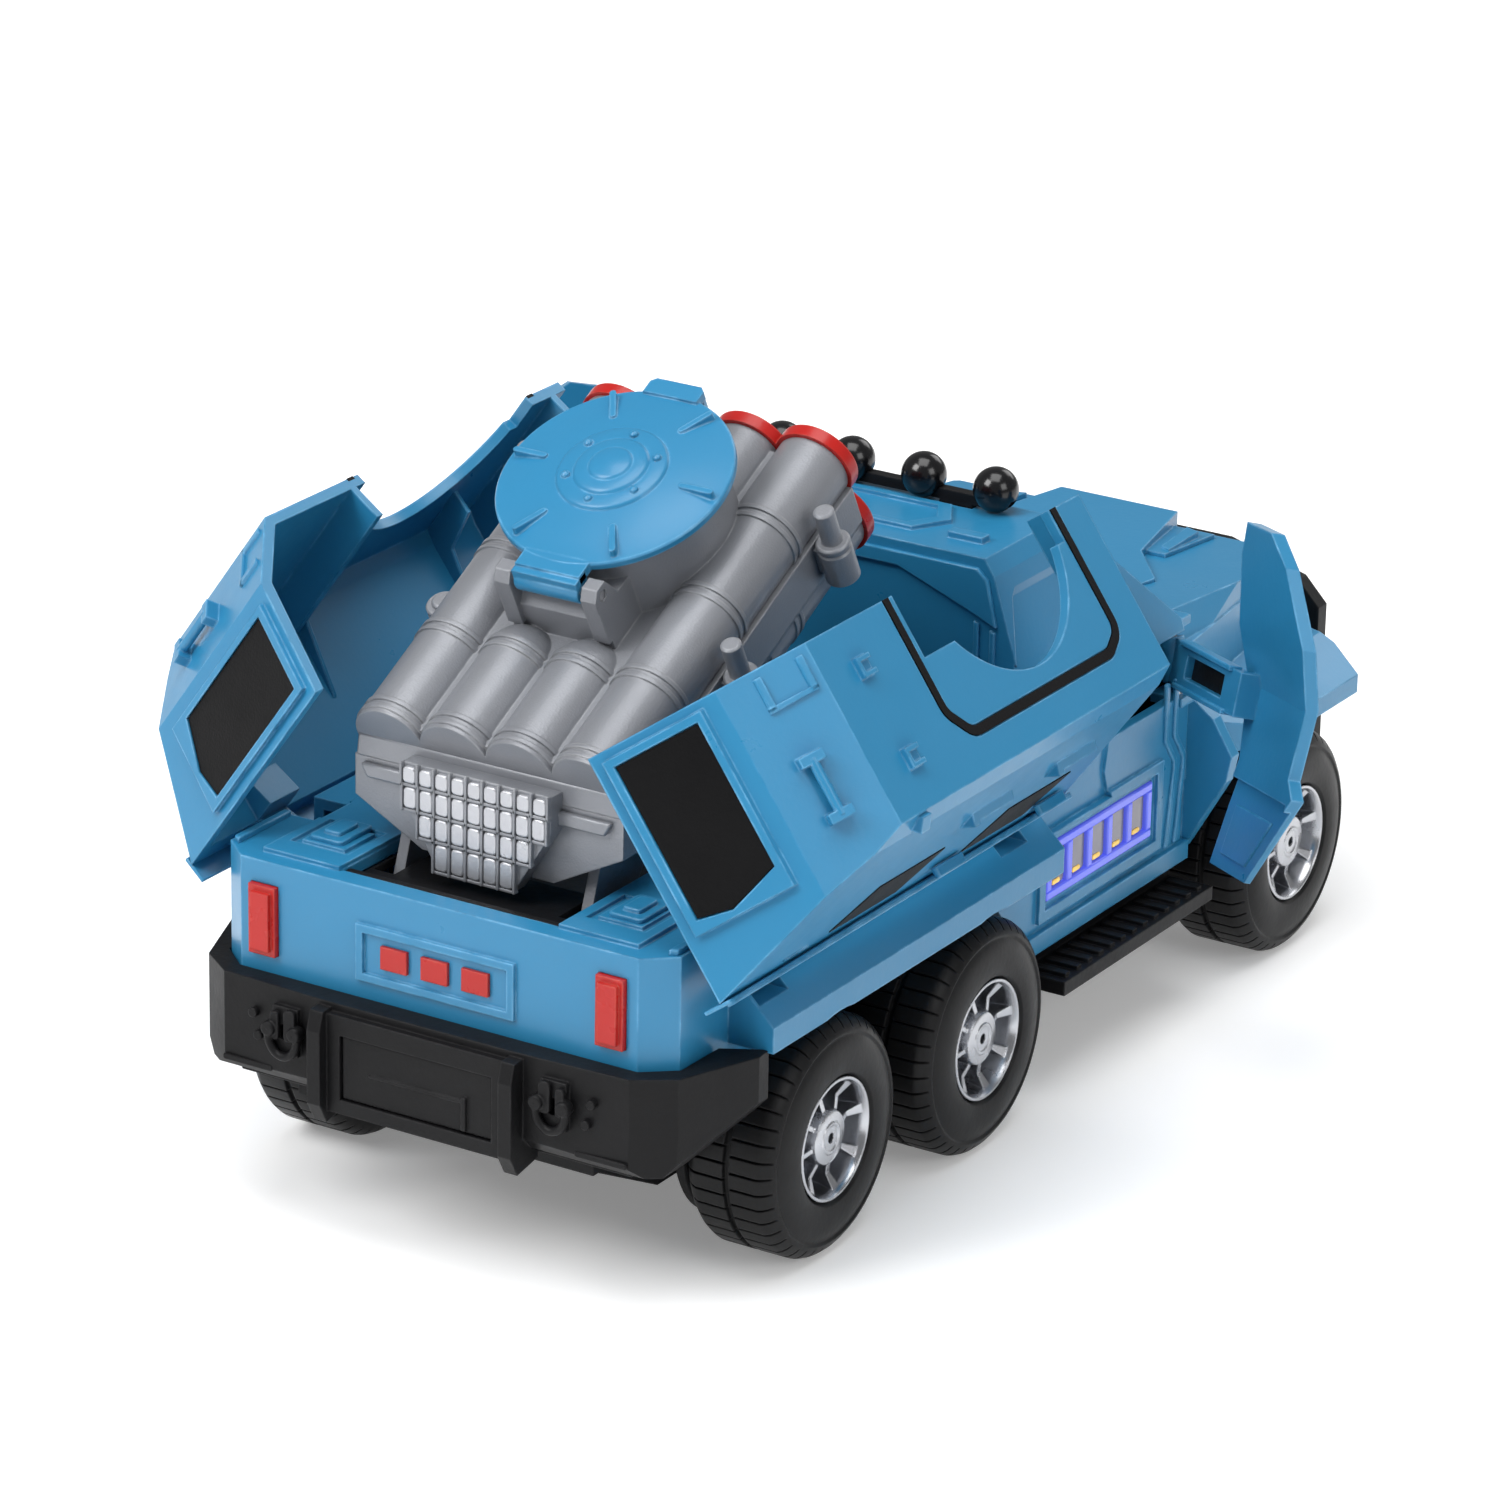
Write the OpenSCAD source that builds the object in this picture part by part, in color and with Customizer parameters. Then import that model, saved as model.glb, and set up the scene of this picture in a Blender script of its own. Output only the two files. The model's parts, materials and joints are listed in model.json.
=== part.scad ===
// Transforming six-wheel missile truck toy, battery powered.
// X is to the right, Y is forward, Z is up, all sizes in millimetres.
// The rest pose is the opened-up state: covers out, doors out, launcher raised.

/* [Wheels] */
// Radius of every road tyre
tyre_r = 21; // [18:0.5:24]
// Width of a road tyre
tyre_w = 18; // [14:0.5:20]
// Radius of the chromed rim
rim_r = 11; // [9:0.5:13]
// Distance from the centre plane to the outer tyre face
track_x = 53.4; // [50:0.2:56]
// Rear axle to middle axle
mid_axle = 49.9; // [46:0.1:54]
// Rear axle to front axle
front_axle = 160.5; // [155:0.5:166]
// Diameter of the steel road axles
axle_d = 3; // [2.5:0.1:4]

/* [Body] */
// Half width of the body at the belt line
body_hw = 44.4; // [42:0.2:46]
// Height of the belt line the covers rest on
belt_z = 64; // [60:0.5:68]
// Height of the roof
roof_z = 98; // [94:0.5:102]
// Half width of the roof
roof_hw = 33; // [30:0.5:36]
// Wall thickness of the body mouldings
wall = 2; // [1.6:0.1:2.6]
// Rear face of the tailgate behind the rear axle
tail_y = 39.9; // [36:0.5:44]
// Rear edge of the cab ahead of the rear axle
cab_y = 78.5; // [76:0.5:82]
// Height of the cab roof, a little below the closed covers
cab_z = 96; // [93:0.5:98]

/* [Covers] */
// Opening angle of each roof cover
cover_open = 54.8; // [0:0.1:60]
// Hinge axis of each cover, distance from the centre plane
cover_hx = 40.7; // [38:0.1:42]
// Hinge axis of each cover, height
cover_hz = 54.6; // [52:0.1:58]
// Radius of the round hatch opening in the closed roof
hole_r = 21.9; // [21:0.1:24]

/* [Launcher] */
// Tilt of the raised launcher
tilt = 27.7; // [0:0.1:30]
// Launcher axle ahead of the rear axle
pivot_y = -22.2; // [-26:0.1:-18]
// Launcher axle height
pivot_z = 51.3; // [48:0.1:54]
// Radius of a launch tube
tube_r = 6.6; // [6:0.1:7]
// Spacing of the launch tubes
tube_p = 12.9; // [12:0.1:14]
// Radius of the round hatch lid
lid_r = 20.6; // [19:0.1:21.4]
// Distance of the lid centre ahead of the rear axle when stowed
lid_y = 41.5; // [38:0.1:44]

/* [Doors] */
// Opening angle of each door
door_open = 51; // [0:1:60]
// Inward lean of the door hinge axis
door_lean = 16; // [0:1:20]
// Forward rake of the door hinge axis
door_rake = 10; // [0:1:14]

/* [Hidden] */
// shift from the rear axle to the middle of the whole length
y0 = -74.4;
eps = 0.01;
$fn = 48;
lid_z = roof_z + 0.6;

module at_axle() { translate([0, y0, 0]) children(); }
// outline given as [y, z], swept across the width from x0 to x1
module across(x0, x1) { translate([x0, 0, 0]) rotate([90, 0, 90]) linear_extrude(x1 - x0) children(); }
// outline given as [x, z], swept along the length from ya to yb
module along(ya, yb) { translate([0, yb, 0]) rotate([90, 0, 0]) linear_extrude(yb - ya) children(); }
module box(x0, x1, ya, yb, z0, z1) { translate([x0, ya, z0]) cube([x1 - x0, yb - ya, z1 - z0]); }
module both() { children(); mirror([1, 0, 0]) children(); }
module pin_hole(y) {
  translate([cover_hx, y, cover_hz]) rotate([90, 0, 0]) cylinder(r = 1.05, h = 20, center = true, $fn = 24);
}
module rod_x(r, x0, x1, y, z) { translate([x0, y, z]) rotate([0, 90, 0]) cylinder(r = r, h = x1 - x0); }

// ---- body moulding ----
// screw posts joining body and chassis
posts = [[23.8, -12], [24, 82.3], [24, 182]];
module plan(o) {
  polygon([[-39.1 + o, -tail_y + o], [39.1 - o, -tail_y + o], [body_hw - o, -tail_y + 4.5 + o],
    [body_hw - o, 133], [41.5 - o, 140], [36 - o, 186 - o], [30 - o * 0.6, 191 - o],
    [-30 + o * 0.6, 191 - o], [-36 + o, 186 - o], [-41.5 + o, 140], [-body_hw + o, 133],
    [-body_hw + o, -tail_y + 4.5 + o]]);
}
module cab(o) {
  intersection() {
    across(-50, 50) polygon([[cab_y + o, 40], [cab_y + o, cab_z - o], [105 - o, cab_z - o],
      [134 - o, 70.5 - o], [134 - o, 40]]);
    along(60, 140) polygon([[-body_hw + o, 40], [-body_hw + o, belt_z], [-roof_hw - 2 + o, cab_z - 3],
      [-roof_hw + o, cab_z + o], [roof_hw - o, cab_z + o], [roof_hw + 2 - o, cab_z - 3],
      [body_hw - o, belt_z], [body_hw - o, 40]]);
  }
}
module nose(o) {
  intersection() {
    across(-50, 50) polygon([[120, 40], [120, 71 - o], [136, 70 - o], [187 - o, 66.5 - o],
      [191 - o, 62], [191 - o, 40]]);
    linear_extrude(100) polygon([[-41.5 + o, 110], [-41.5 + o, 138], [-35.6 + o, 186 - o],
      [-30, 192 - o], [30, 192 - o], [35.6 - o, 186 - o], [41.5 - o, 138], [41.5 - o, 110]]);
    along(110, 200) polygon([[-41.5 + o, 30], [-41.5 + o, 60], [-37 + o, 72 - o], [37 - o, 72 - o],
      [41.5 - o, 60], [41.5 - o, 30]]);
  }
}
module flare(o) {
  // rear fender over both rear axles, then the front fender
  along(-21 + o, 74 - o) polygon([[40, 57 - o], [body_hw - o, 57 - o], [53.2 - o, 48.5 - o],
    [53.2 - o, 44], [40, 44]]);
  intersection() {
    along(136 + o, 186 - o) polygon([[36, 54 - o], [44 - o, 52.5 - o], [54.2 - o, 47.5 - o],
      [54.2 - o, 44], [36, 44]]);
    linear_extrude(80) polygon([[30, 136 + o], [47 - o, 136 + o], [54.2 - o, 150],
      [54.2 - o, 182 - o], [47, 186 - o], [30, 186 - o]]);
  }
}
module door_face() {
  polygon([[88.5, 93], [99.5, 93], [103.5, 87], [108, 74], [103, 51], [106, 42], [109, 31],
    [92.5, 31], [77.3, 49], [80.5, 52], [79.5, 62], [78.2, 75], [83, 88]]);
}
module body_shell() color([0.20, 0.47, 0.66]) at_axle() {
  difference() {
    union() {
      translate([0, 0, 26]) linear_extrude(belt_z - 26) plan(0);
      cab(0);
      nose(0);
      both() flare(0);
      both() box(21.6, 37, -36.5, -8, belt_z - eps, belt_z + 0.8);
      // door jamb step and side sill
      both() box(43, 45.6, 76, 134, 25, 28.5);
      both() along(134.2, 136.9) polygon([[40, 26.5], [44.4, 26.5], [46.4, 30], [52.6, 41], [53.6, 46],
        [49.5, 52.5], [44, 56.5], [40, 56.5]]);
      // frame lines round the side lamp
      both() difference() {
        box(43, 45.2, 80.3, 124.3, 30, 47);
        box(42, 46, 82.3, 122.3, 32, 45);
      }
      // pressed frame for the rear plate
      difference() {
        box(-15.6, 15.6, -tail_y - 0.7, -tail_y + 1, 47.6, 57.6);
        box(-14.2, 14.2, -tail_y - 1, -tail_y, 49, 56.2);
      }
      // roof hatch outline and grab bars
      difference() {
        translate([0, 91, cab_z - 0.5]) linear_extrude(1.3)
          polygon([[-15, -7], [15, -7], [19, 0], [15, 7], [-15, 7], [-19, 0]]);
        translate([0, 91, cab_z - 1]) linear_extrude(3)
          polygon([[-13, -5.4], [13, -5.4], [16, 0], [13, 5.4], [-13, 5.4], [-16, 0]]);
      }
      both() box(22, 29, 84.5, 87, cab_z - 0.5, cab_z + 1.2);
    }
    // hollow inside
    difference() {
      union() {
        translate([0, 0, 20]) linear_extrude(belt_z - wall - 20) plan(wall);
        cab(wall);
        nose(wall);
        both() flare(wall);
      }
      // decks over the wheels, rear wall of the cab
      both() box(31.5, 60, -26, 76, 44, 46);
      both() box(29.6, 60, 136, 186, 44, 46);
      box(-60, 60, cab_y, cab_y + wall, 40, cab_z);
      both() box(29.6, 31.6, 136, 190, 26, 46);
      both() box(29.5, 60, 74, 76, 26, 46);
      both() box(29.5, 60, 134, 136, 26, 46);
      both() box(31.5, 60, -28, -26, 26, 46);
      // screw posts
      both() for (p = posts) translate([p[0], p[1], 24]) cylinder(r = 3.4, h = 60);
    }
    // centre well for the launcher
    box(-30.5, 30.5, -8, cab_y - 1.5, belt_z - 8, belt_z + 10);
    box(-21.4, 21.4, -35.8, 10, belt_z - 8, belt_z + 10);
    both() for (p = posts) translate([p[0], p[1], 20]) cylinder(r = 1.1, h = 14, $fn = 24);
    // lower rear corners, behind the bumper
    both() across(36, 60) polygon([[-60, 0], [-60, 27.6], [-36, 27.6], [-10, 41.6], [-10, 0]]);
    // wheel openings
    both() for (y = [0, mid_axle, front_axle]) rod_x(tyre_r + 2.4, 31.6, 60, y, tyre_r);
    both() box(31.6, 60, 0, mid_axle, 20, 44);
    both() box(31.6, 60, -23.4, 73.3, 20, 30);
    both() box(31.6, 60, front_axle - 23.4, front_axle + 23.4, 20, 30);
    // side lamp windows
    both() box(40, 50, 83.3, 121.3, 33, 44);
    // door pocket and arm slot
    both() intersection() {
      across(36, 50) offset(delta = 0.6) door_face();
      along(70, 140) polygon([[body_hw - 0.6, 46], [body_hw - 0.6, belt_z + 0.3], [roof_hw + 1.4, 93.4],
        [60, 93.4], [60, 46]]);
    }
    both() box(37, 50, 99, 138, 56.9, 68.3);
    both() door_axis() cylinder(r = 1, h = 15.6, center = true, $fn = 24);
    // cover arm slots in the side walls
    both() for (y = [-16, 62]) box(36.5, 50, y - 4.4, y + 4.4, 51.5, 80);
    // windscreen, side windows, lamp seats
    translate([0, 119.5, 83.25]) rotate([-41.3, 0, 0]) {
      box(-29, 29, -15.5, 15.5, -1.42, 5);
      box(-27, 27, -13.5, 13.5, -4, 0);
    }
    both() box(31.5, 37, -tail_y - 1, -tail_y + 1.2, 47.5, 60);
    both() box(18.5, 31.5, 187, 196, 51, 59.5);
    both() box(11, 18, 99.8, 102.2, cab_z - 1.5, cab_z + 2);
    box(-14, 14, 160, 196, 20, 36);
    // deck pocket marks
    both() difference() {
      box(23.6, 35, -31.5, -20, belt_z + 0.2, belt_z + 3);
      box(25, 33.6, -30.1, -21.4, belt_z - 1, belt_z + 4);
    }
  }
  // launcher axle brackets and cover hinge brackets
  both() difference() {
    union() {
      box(25, 27.4, pivot_y - 5, pivot_y + 5, pivot_z - 5, belt_z - 1);
      box(27.4, 42.8, pivot_y - 1, pivot_y + 1, 47.5, belt_z - 1);
    }
    rod_x(1.5, 20, 30, pivot_y, pivot_z);
    pin_hole(pivot_y);
  }
  both() difference() {
    union() {
      box(39, 45.4, 129.6, 135.6, 55.2, 56.9);
      box(36.4, 42, 132, 138, 68.3, 70);
    }
    door_axis() cylinder(r = 1, h = 30, center = true, $fn = 24);
  }
  both() for (y = [-6.5, 52.5, 71.5]) difference() {
    box(37.6, 42.8, y - 1.5, y + 1.5, 50.5, belt_z - 1);
    pin_hole(y);
  }
}
module tail_lamps() color([0.80, 0.07, 0.05]) at_axle() both() {
  box(31.6, 36.9, -tail_y - 1, -tail_y + 1.1, 47.6, 59.9);
  box(32.4, 36.1, -tail_y - 1.8, -tail_y - 0.5, 48.6, 58.9);
}
module plate_bars() color([0.75, 0.06, 0.05]) at_axle()
  for (x = [-8, 0, 8]) box(x - 2.6, x + 2.6, -tail_y - 0.7, -tail_y, 50.6, 54.6);
module cab_glass() color([0.03, 0.03, 0.04]) at_axle() {
  translate([0, 119.5, 83.25]) rotate([-41.3, 0, 0]) box(-28.9, 28.9, -15.4, 15.4, -1.4, -0.2);
}
module hood_panel() color([0.20, 0.47, 0.66]) at_axle() difference() {
  union() {
    translate([0, 0, 60]) linear_extrude(9.6) polygon([[-12.5, 187], [-17.5, 164], [-27, 152],
      [-25, 140], [25, 140], [27, 152], [17.5, 164], [12.5, 187]]);
    both() translate([0, 0, 60]) linear_extrude(8.9)
      polygon([[17.2, 182], [18.4, 170], [20.6, 169], [20.2, 181]]);
    // thin step beside the raised tongue
    intersection() {
      both() translate([0, 0, 60]) linear_extrude(12) polygon([[8, 167], [20.9, 167], [21.5, 185], [8, 185]]);
      across(-40, 40) polygon([[130, 50], [130, 71.1], [136, 70.8], [187, 67.3], [187, 50]]);
    }
  }
  across(-40, 40) polygon([[120, 50], [120, 71.02], [136, 70.02], [187, 66.52], [191, 62], [191, 50]]);
}
module side_lenses() color([0.55, 0.62, 0.85, 0.6]) at_axle() both() difference() {
  union() {
    box(42.3, 44.9, 83.5, 121.1, 33.2, 43.8);
    box(41.2, 42.38, 82.6, 122, 32, 45);
  }
  for (i = [0:4]) box(44.2, 46, 85.5 + i * 7, 89.5 + i * 7, 34.6, 42.4);
}
module lamp_boards() color([0.85, 0.80, 0.45]) at_axle() both() {
  box(38.6, 39.8, 83, 121, 31, 46);
  for (i = [0:4]) box(39.7, 40.6, 86 + i * 7, 88.6 + i * 7, 36, 38.6);
}
lamps_x = [-22, -7.35, 7.35, 22];
module light_bar() color([0.03, 0.03, 0.03]) at_axle() {
  box(-24, 24, 100, 102, cab_z + 0.6, cab_z + 2.6);
  both() box(11.2, 17.8, 100, 102, cab_z - 1.4, cab_z + 0.8);
  for (x = lamps_x) translate([x, 101, cab_z + 0.8]) cylinder(r = 1.9, h = 2);
}
module roof_lamps() color([0.02, 0.02, 0.02]) at_axle() for (x = lamps_x) difference() {
  translate([x, 101, cab_z + 4.1]) sphere(r = 4.1);
  translate([x - 5, 99.9, cab_z]) cube([10, 2.2, 2.7]);
  translate([x, 101, cab_z]) cylinder(r = 2, h = 2.9);
}
module guard_outline(o) {
  polygon([[-39.6 + o, 27 + o], [-39.6 + o, 54 - o * 0.6], [-35 + o * 0.6, 58.8 - o], [-19, 63.2 - o],
    [19, 63.2 - o], [35 - o * 0.6, 58.8 - o], [39.6 - o, 54 - o * 0.6], [39.6 - o, 27 + o]]);
}
module bull_bar() color([0.03, 0.03, 0.03]) at_axle() {
  along(193.6, 196.8) difference() {
    guard_outline(0);
    difference() {
      guard_outline(3);
      for (x = [-24, -9, 9, 24]) translate([x - 1.3, 30]) square([2.6, 40]);
      translate([-40, 27]) square([80, 9]);
      translate([-40, 44]) square([80, 2.4]);
    }
  }
  both() box(25, 29.5, 191.03, 194, 30, 37);
}
module front_grille() color([0.05, 0.05, 0.05]) at_axle() difference() {
  box(-16.5, 16.5, 191, 192.6, 48, 61);
  for (i = [0:4]) box(-15, 15, 192, 193, 49.4 + i * 2.3, 50.5 + i * 2.3);
}
module head_lamps() color([0.85, 0.88, 0.92]) at_axle() both() difference() {
  box(18.7, 31.3, 187, 191.6, 51.2, 59.3);
  linear_extrude(90) polygon([[40, 170], [40, 200], [30.5, 200], [30.5, 190.8], [35, 186.6]]);
}
module rear_bumper() color([0.05, 0.05, 0.05]) at_axle() difference() {
  union() {
    intersection() {
      translate([0, 0, 27]) linear_extrude(17.4) polygon([[-52, -20.5], [-52.4, -24], [-46.5, -39],
        [-40, -43.6], [-18.5, -44.6], [18.5, -44.6], [40, -43.6], [46.5, -39], [52.4, -24], [52, -20.5],
        [45, -24.6], [44.75, -35.55], [39.3, -40.1], [-39.3, -40.1], [-44.75, -35.55], [-45, -24.6]]);
      across(-60, 60) polygon([[-50, 44.4], [-10, 44.4], [-10, 40], [-36, 26], [-41, 26], [-50, 35]]);
      along(-60, 0) polygon([[-53, 45], [-53, 37], [-44.5, 27], [44.5, 27], [53, 37], [53, 45]]);
    }
    box(-18.5, 18.5, -46, -40, 25.5, 43);
    // two upright ribs and the shackle lugs
    both() across(17.6, 20.2) polygon([[-40, 44], [-47, 43.4], [-48, 40], [-48, 27], [-46, 23.4],
      [-40, 24.5]]);
    both() box(24, 29, -45.2, -43, 33, 41.5);
  }
  both() translate([26.5, -40, 37]) rotate([90, 0, 0]) cylinder(r = 1.5, h = 12, $fn = 24);
  box(-15, 15, -50, -44.6, 28, 39.5);
  both() rod_x(tyre_r + 2.4, 31, 60, 0, tyre_r);
}
module step_boards() color([0.04, 0.04, 0.04]) at_axle() both() {
  box(40.5, 52, 78, 132, 19, 21.6);
  box(40.5, 43, 78, 132, 21, 25.9);
  for (i = [0:12]) box(44.5, 51, 80 + i * 4, 81.6 + i * 4, 21.5, 22.3);
}
// ---- chassis and electrics ----
module deck_liner() color([0.05, 0.05, 0.055]) at_axle() difference() {
  // black tray under the launcher, stepped up at the tail, with slots for the arms
  union() {
    box(-30, 30, -7.5, cab_y - 2, 52.6, 54);
    box(-21, 21, -19, -7.4, 52.6, 54);
    box(-21, 21, -19, -17.6, 53.9, 62);
    box(-21, 21, -35.4, -17.6, 60.6, 62);
    box(-21, 21, -35.4, -34.2, 61.9, 63.9);
    both() box(28.6, 30, -7.5, cab_y - 2, 53.9, 63.5);
    box(-30, 30, cab_y - 3.4, cab_y - 2, 53.9, 63.5);
  }
  both() box(16.2, 20.4, -28.5, 8, 50, 64);
  both() translate([posts[0][0], posts[0][1], 50]) cylinder(r = 3.7, h = 20);
}
module chassis() color([0.05, 0.05, 0.055]) at_axle() {
  difference() {
    union() {
      box(-29.4, 29.4, -37.5, 188, 13.5, 43.9);
      box(-40.4, 40.4, 76.3, 133.7, 13.5, 25.8);
    }
    difference() {
      box(-27.4, 27.4, -35.5, 186, 15.5, 60);
      across(-60, 60) polygon([[-40, 10], [-12, 10], [-17.4, 15.5], [-35.4, 24.5], [-40, 24.5]]);
    }
    box(-38.4, 38.4, 78.3, 131.7, 15.5, 60);
    across(-60, 60) polygon([[-40, 10], [-14, 10], [-18, 13.5], [-36, 22.5], [-40, 22.5]]);
    // battery bay opening, turret opening, switch slot, speaker holes
    box(-27.2, 27.2, 3, 46.8, 10, 16);
    translate([0, 106, 0]) cylinder(r = 22.4, h = 40);
    box(-2.3, 5.3, 65.1, 69.2, 10, 16);
    for (x = [-8, 0, 8], y = [134.5, 142.5, 150.5]) translate([x, y, 0]) cylinder(r = 1.2, h = 20, $fn = 16);
    for (y = [0, mid_axle, front_axle]) rod_x(axle_d / 2 + 0.08, -60, 60, y, tyre_r);
    both() for (p = posts) translate([p[0], p[1], 0]) cylinder(r = 1.4, h = 30, $fn = 24);
  }
  both() for (p = posts) difference() {
    translate([p[0], p[1], 13.6]) cylinder(r = 3.4, h = 10.2);
    translate([p[0], p[1], 0]) cylinder(r = 1.4, h = 30, $fn = 24);
    translate([p[0], p[1], 0]) cylinder(r = 2.7, h = 18, $fn = 24);
  }
  // battery bay walls
  difference() {
    box(-29, 29, 2, 47.8, 15, 32.6);
    box(-27.2, 27.2, 3, 46.8, 10, 31.6);
  }
}
module body_screws() color([0.6, 0.6, 0.62]) at_axle() both() for (p = posts) translate([p[0], p[1], 0]) {
  translate([0, 0, 17.9]) cylinder(r = 1.05, h = 15.7, $fn = 24);
  difference() {
    translate([0, 0, 16]) cylinder(r = 2.4, h = 1.98, $fn = 24);
    translate([-1.6, -0.3, 15]) cube([3.2, 0.6, 2]);
    translate([-0.3, -1.6, 15]) cube([0.6, 3.2, 2]);
  }
}
module battery_cells() color([0.75, 0.50, 0.25]) at_axle() for (i = [0:2]) {
  rod_x(7.1, -24.6, 24.6, 10.3 + i * 14.6, 23.4);
  s = i == 1 ? -1 : 1;
  if (s > 0) rod_x(2.7, 24.5, 25.6, 10.3 + i * 14.6, 23.4);
  else rod_x(2.7, -25.6, -24.5, 10.3 + i * 14.6, 23.4);
}
module battery_door() color([0.06, 0.06, 0.065]) at_axle() difference() {
  box(-27, 27, 3.2, 46.6, 13.5, 15.3);
  for (i = [0:5]) box(8, 24, 8 + i * 5.5, 10 + i * 5.5, 13, 14.1);
  translate([-22, 25, 10]) cylinder(r = 1.3, h = 10, $fn = 24);
}
module battery_screw() color([0.6, 0.6, 0.62]) at_axle() translate([-22, 25, 0]) {
  translate([0, 0, 12.9]) cylinder(r = 1.2, h = 2.6, $fn = 24);
  difference() {
    translate([0, 0, 12.1]) cylinder(r = 2.2, h = 1.4, $fn = 24);
    translate([-1.6, -0.3, 11]) cube([3.2, 0.6, 1.8]);
  }
}
module power_switch() color([0.7, 0.08, 0.06]) at_axle() {
  box(-2, 2, 65.4, 68.9, 11.7, 15.4);
  box(-4.4, 4.4, 64.9, 69.4, 15.6, 17);
}
module circuit_board() color([0.10, 0.35, 0.15]) at_axle() {
  box(-24, 24, 4, 44, 36, 37.6);
  box(-8, 4, 12, 24, 37.5, 39.5);
  for (x = [-18, 12, 18]) translate([x, 32, 37.5]) cylinder(r = 2.4, h = 6);
  both() box(19, 23, 5, 9, 32.65, 36.1);
}
module speaker() color([0.12, 0.12, 0.13]) at_axle() translate([0, 142.5, 15.5]) {
  cylinder(r = 13, h = 3);
  translate([0, 0, 2.9]) cylinder(r = 7, h = 4);
}
module lift_gearbox() color([0.82, 0.82, 0.80]) at_axle() {
  difference() {
    box(-14, 14, 53.5, 62.5, 15.5, 50);
    box(-12, 12, 55, 61, 17, 48.5);
  }
  rod_x(5, -16.5, -13.9, 58, 44);
  rod_x(1.5, -26, -16.4, 58, 44);
  translate([0, 58, 24]) rotate([0, 90, 0]) cylinder(r = 5.6, h = 1, center = true);
}
module turret() color([0.07, 0.07, 0.075]) at_axle() translate([0, 106, 0]) difference() {
  union() {
    translate([0, 0, 11]) cylinder(r = 22, h = 4);
    translate([0, 0, 14.9]) cylinder(r = 19, h = 12);
    both() box(13, 15, -6, 6, 4.5, 12);
  }
  translate([0, 0, 16.5]) cylinder(r = 17.2, h = 20);
  rod_x(1.05, -20, 20, 0, 7.6);
  box(-12.4, 12.4, -9, 9, 8, 16);
}
module turret_wheels() color([0.05, 0.05, 0.05]) at_axle() translate([0, 106, 0]) {
  both() rod_x(7.5, 6, 12, 0, 7.6);
  rod_x(1, -16.5, 16.5, 0, 7.6);
}
module turret_cap() color([0.82, 0.82, 0.80]) at_axle() translate([0, 106, 0]) {
  translate([0, 0, 25]) cylinder(r = 17, h = 2.6);
  translate([0, 0, 16.6]) cylinder(r = 8, h = 8.5);
}

// ---- roof covers, modelled closed and then swung open ----
module swing_cover() {
  translate([cover_hx, 0, cover_hz]) rotate([0, cover_open, 0]) translate([-cover_hx, 0, -cover_hz])
    children();
}
module cover_block(o) {
  intersection() {
    across(0, 60) polygon([[-36.6 + o * 1.1, 50], [-36.6 + o * 1.1, 64.4], [-26.5 + o * 1.1, 87.5 - o * 0.4],
      [-13.5 + o * 0.4, roof_z - o], [75 + o, roof_z - o], [75 + o, 50]]);
    along(-60, 76 + o) polygon([[-1, 30], [-1, roof_z - o], [roof_hw - o * 0.5, roof_z - o],
      [roof_hw + 2.2 - o * 0.9, 94 - o * 0.3], [44.6 - o, 65.8], [44.6 - o, 30]]);
  }
}
module side_cut(y1, y2) {
  // lozenge window in the leaning side
  polygon([[y1, 69], [y1 + 8, 76.4], [y2, 76.4], [y2 - 8, 69]]);
}
module pane_outline(o) {
  along(-60, 0) polygon([[3.5 - o, 69.5 - o], [30.8 + o, 69.5 - o], [32 + o, 75], [29 + o, 83.4 + o],
    [3.5 - o, 83.4 + o]]);
}
module cover_skin() {
  difference() {
    union() {
      cover_block(0);
      // raised rear window frame
      intersection() {
        translate([0, -1.0, 0.3]) cover_block(0);
        across(1.8, 33.4) polygon([[-60, 68], [-60, 84.8], [0, 84.8], [0, 68]]);
      }
    }
    difference() {
      translate([-2, 0, 0]) cover_block(wall);
      for (y = [10, 71]) box(0, 60, y - 0.8, y + 0.8, 89.3, 100);
      for (y = [-16, 62]) box(36, 60, y - 4.2, y + 4.2, 60, 72);
    }
    box(-5, 0.2, -60, 100, 40, 120);
    box(-5, 60, -60, 100, 40, 65.8);
    // hatch opening with notches for its hinge and its catch
    translate([0, lid_y, 80]) cylinder(r = hole_r, h = 30);
    box(-1, 11.6, 13.4, lid_y, 80, 110);
    box(-1, 6, lid_y, lid_y + 23.1, 80, 110);
    // seats for the rear pane and the roof stripe
    intersection() {
      difference() { translate([0, -3, 2]) cover_block(0); translate([0, -0.1, -0.1]) cover_block(0.1); }
      pane_outline(0.2);
    }
  }
}
module cover_arm(y) {
  difference() {
    union() {
      translate([0, y + 3.6, 0]) rotate([90, 0, 0]) linear_extrude(7.2)
        polygon([[cover_hx - 2.2, cover_hz - 1], [cover_hx + 1.9, cover_hz - 1.6], [cover_hx + 2.6, 64.2],
          [43.6, 66], [43.9, 69], [41.2, 69], [40.4, 66]]);
      translate([cover_hx, y, cover_hz]) rotate([90, 0, 0]) cylinder(r = 2.3, h = 7.2, center = true);
    }
    pin_hole(y);
  }
}
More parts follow.
